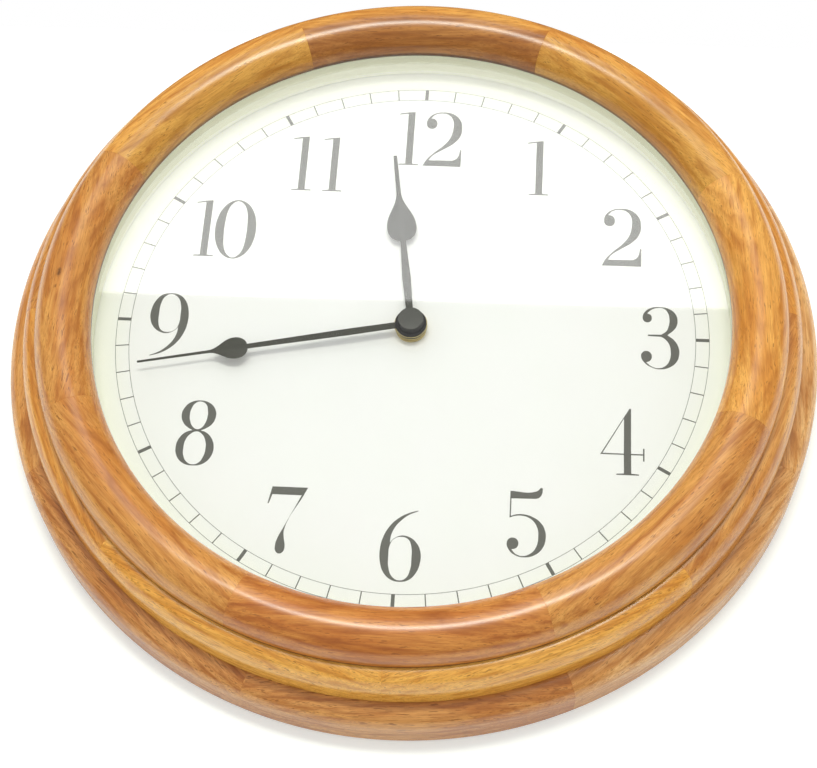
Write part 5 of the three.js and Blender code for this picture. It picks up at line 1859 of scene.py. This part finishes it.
@dataclass
class Lamp:
    """A flat lamp that faces the clock.

    Attributes:
        name: its name.
        middle: its middle, in metres.
        aim: the point that it faces.
        size: its width and height in metres.
        radiance: how bright its face is, where 1 is white.
        colour: its light's colour.
        slope: how far its right end hangs towards 6, in degrees.
    """

    name: str
    middle: Vector
    aim: Vector
    size: Pair
    radiance: float
    colour: Colour = (1, 1, 1)
    slope: float = 0

    def hang(self) -> bpy.types.Object:
        """Put the lamp in the scene.

        Returns:
            The lamp's object.
        """
        width, height = self.size
        data = bpy.data.lights.new(self.name, "AREA")
        data.color = self.colour
        data.shape = "RECTANGLE"
        data.size, data.size_y = width, height
        data.energy = self.radiance * math.pi * width * height
        obj = shown(self.name, data)
        back = (self.middle - self.aim).normalized()
        lean = math.radians(self.slope)
        across = Vector((math.cos(lean), 0, -math.sin(lean)))
        up = back.cross(across).normalized()
        turn = Matrix((up.cross(back).normalized(), up, back)).transposed()
        obj.matrix_world = Matrix.Translation(self.middle) @ turn.to_4x4()
        return obj

    def hang_clear_of(self, node: str) -> None:
        """Hang the lamp and keep its own light off a node, where it would leave a mirror image.

        Args:
            node: the node's name.
        """
        spared = bpy.data.collections.new(f"{self.name}_spares")
        spared.objects.link(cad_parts[node])
        spared.collection_objects[0].light_linking.link_state = "EXCLUDE"
        self.hang().light_linking.receiver_collection = spared


@dataclass
class Studio:
    """White table under the clock, a wide panel, a bright strip, a soft fill and the camera.

    Attributes:
        table_gap: how far the table lies behind the wall's plane.
        table_half: how far it reaches from the clock.
        table_far: and towards 12, where it ends.
        hole_radius: size of its opening behind the clock.
        table_glow: how bright it is of itself to the camera.
        table_gleam: and in mirrors.
        lamp_aim: height that the panel faces.
        panel_tilt, panel_side, panel_far: where the panel hangs from there: degrees over the wall,
            share towards 3, and metres.
        panel_turn: how far beside the clock it faces, in metres.
        sky_light: the surroundings' light from 6 and from 12.
        room_heights, room_gleam: how far to the front mirrors see them get paler, and how pale.
        camera_place, camera_look, camera_up: the camera as the photograph was taken with, in metres
            in the frame's axes.
        focal_pixels, frame_pixels: its focal length and the picture's width in the same pixels.
        rise_pixels: how far it moves its picture up.
    """

    table_gap: float = 0.5
    table_half: float = 3000.0
    table_far: float = 205.0
    table_steps: int = 128
    hole_radius: float = 199.5
    table_white: Colour = (0.81, 0.86, 0.835)
    table_glow: float = 0.28
    table_gleam: float = 0.25
    lamp_aim: float = 40.0
    panel_tilt: float = 35.16
    panel_side: float = -0.0554
    panel_far: float = 5.689
    panel_turn: Triple = (0.396, 0, 0)
    sky_light: Pair = (0.66, 1.08)
    room_heights: Pair = (0.1, 0.7)
    room_gleam: Pair = (0.12, 0.28)
    camera_place: Triple = (0.04986, -0.82503, -0.64139)
    camera_look: Triple = (-0.05468, 0.88222, 0.46765)
    camera_up: Triple = (-0.03887, -0.46988, 0.88188)
    focal_pixels: float = 1836.52
    frame_pixels: float = 817.0
    rise_pixels: float = 1.6
    sensor: float = 36.0
    clip_start: float = 0.01

    def table(self) -> None:
        """Make the table: a plane behind the clock, open under its back, that ends beyond 12."""
        table = Mesh()
        bm = table.bm
        rings = []
        for radius in (self.hole_radius, self.table_half):
            ring = []
            for i in range(self.table_steps):
                angle = 360 * i / self.table_steps
                up = math.cos(math.radians(angle))
                reach = min(radius, self.table_far / up) if up > 0 else radius
                ring.append(spot(angle, reach, -self.table_gap))
            rings.append(table.loop(ring))
        table.bridge(*rings)
        bmesh.ops.recalc_face_normals(bm, faces=bm.faces)
        bm.normal_update()
        if bm.faces[0].normal.y > 0:
            bmesh.ops.reverse_faces(bm, faces=bm.faces)
        top = shown("table_top", table.data("table_top"))
        top.data.materials.append(self.table_finish())

    def table_finish(self) -> bpy.types.Material:
        """Make the table's white, which is clear from behind.

        Returns:
            The material.
        """
        graph = Graph("table_white")
        path = graph.node("ShaderNodeLightPath").outputs
        mirrored = graph.maths("MAXIMUM", path["Is Glossy Ray"], path["Is Transmission Ray"])
        glow = graph.maths("MULTIPLY", path["Is Camera Ray"], self.table_glow)
        gleam = graph.maths("MULTIPLY", mirrored, self.table_gleam)
        seen = graph.maths("MAXIMUM", glow, gleam)
        lit = graph.node("ShaderNodeAddShader")
        graph.feed(lit.inputs[0],
                   graph.shader("ShaderNodeBsdfDiffuse", Color=(*self.table_white, 1)))
        graph.feed(lit.inputs[1],
                   graph.shader("ShaderNodeEmission", Color=(1, 1, 1, 1), Strength=seen))
        side = graph.node("ShaderNodeNewGeometry").outputs["Backfacing"]
        clear = graph.shader("ShaderNodeBsdfTransparent")
        return graph.surface(graph.blend(side, lit.outputs[0], clear))

    def lamps(self) -> None:
        """Hang a wide panel beyond 12, a bright strip overhead and a soft fill from behind."""
        aim = spot(0, 0, self.lamp_aim)
        tilt = math.radians(self.panel_tilt)
        way = Vector((self.panel_side, -math.cos(tilt), math.sin(tilt)))
        panel = aim + way * self.panel_far
        Lamp("panel", panel, aim + Vector(self.panel_turn), (2.4, 0.926), 2.25).hang()
        Lamp("strip", place(0, 328, 1850), place(0, 60, 40), (0.84, 0.27), 20.0, (1, 1.02, 0.92),
             slope=9).hang_clear_of("glass")
        Lamp("back_fill", place(300, -250, -1450), spot(0, 0, 0), (1.6, 1.6), 1.1).hang()

    def world(self) -> None:
        """Make the surroundings: white to the camera, and a room that is pale in front to mirrors.

        Their light is strongest from beyond 12.
        """
        graph = Graph("white_room", room=True)
        path = graph.node("ShaderNodeLightPath").outputs
        way = graph.node("ShaderNodeTexCoord").outputs["Generated"]
        front = graph.vector("DOT_PRODUCT", way, (0, -1, 0))
        room = graph.span(front, *self.room_heights, *self.room_gleam)
        seen = graph.maths("MAXIMUM", path["Is Camera Ray"], room)
        beyond = graph.vector("DOT_PRODUCT", way, (0, 0, 1))
        light = graph.span(beyond, -1, 1, *self.sky_light)
        mirrored = graph.maths("MAXIMUM", path["Is Glossy Ray"], path["Is Transmission Ray"])
        share = graph.maths("MAXIMUM", path["Is Camera Ray"], mirrored)
        both = [graph.shader("ShaderNodeBackground", Color=(1, 1, 1, 1), Strength=strength)
                for strength in (light, seen)]
        bpy.context.scene.world = graph.surface(graph.blend(share, *both))

    def camera(self) -> None:
        """Set the camera as the photograph was taken."""
        data = bpy.data.cameras.new("camera")
        data.sensor_fit = "HORIZONTAL"
        data.sensor_width = self.sensor
        data.lens = self.sensor * self.focal_pixels / self.frame_pixels
        data.shift_y = -self.rise_pixels / self.frame_pixels
        data.clip_start = self.clip_start
        obj = shown("camera", data)
        back = -Vector(self.camera_look).normalized()
        up = Vector(self.camera_up).normalized()
        right = up.cross(back).normalized()
        turn = Matrix((right, back.cross(right), back)).transposed()
        obj.matrix_world = Matrix.Translation(Vector(self.camera_place)) @ turn.to_4x4()
        bpy.context.scene.camera = obj

    def build(self) -> None:
        """Set the stage."""
        bpy.context.scene.view_settings.view_transform = "Standard"
        self.table()
        self.lamps()
        self.world()
        self.camera()


def main() -> None:
    """Build the stage and every sub-assembly in order, and report each piece."""
    logging.basicConfig(level=logging.INFO, format="%(name)s: %(message)s")
    Studio().build()
    for assembly in (WoodRing(), Hanger(), Face(), Hands(), Movement()):
        assembly.build()
        for piece in assembly.pieces:
            LOG.info("%s: %s, %d faces", type(assembly).__name__, piece.name,
                     len(piece.data.polygons))


if __name__ == "__main__":
    main()
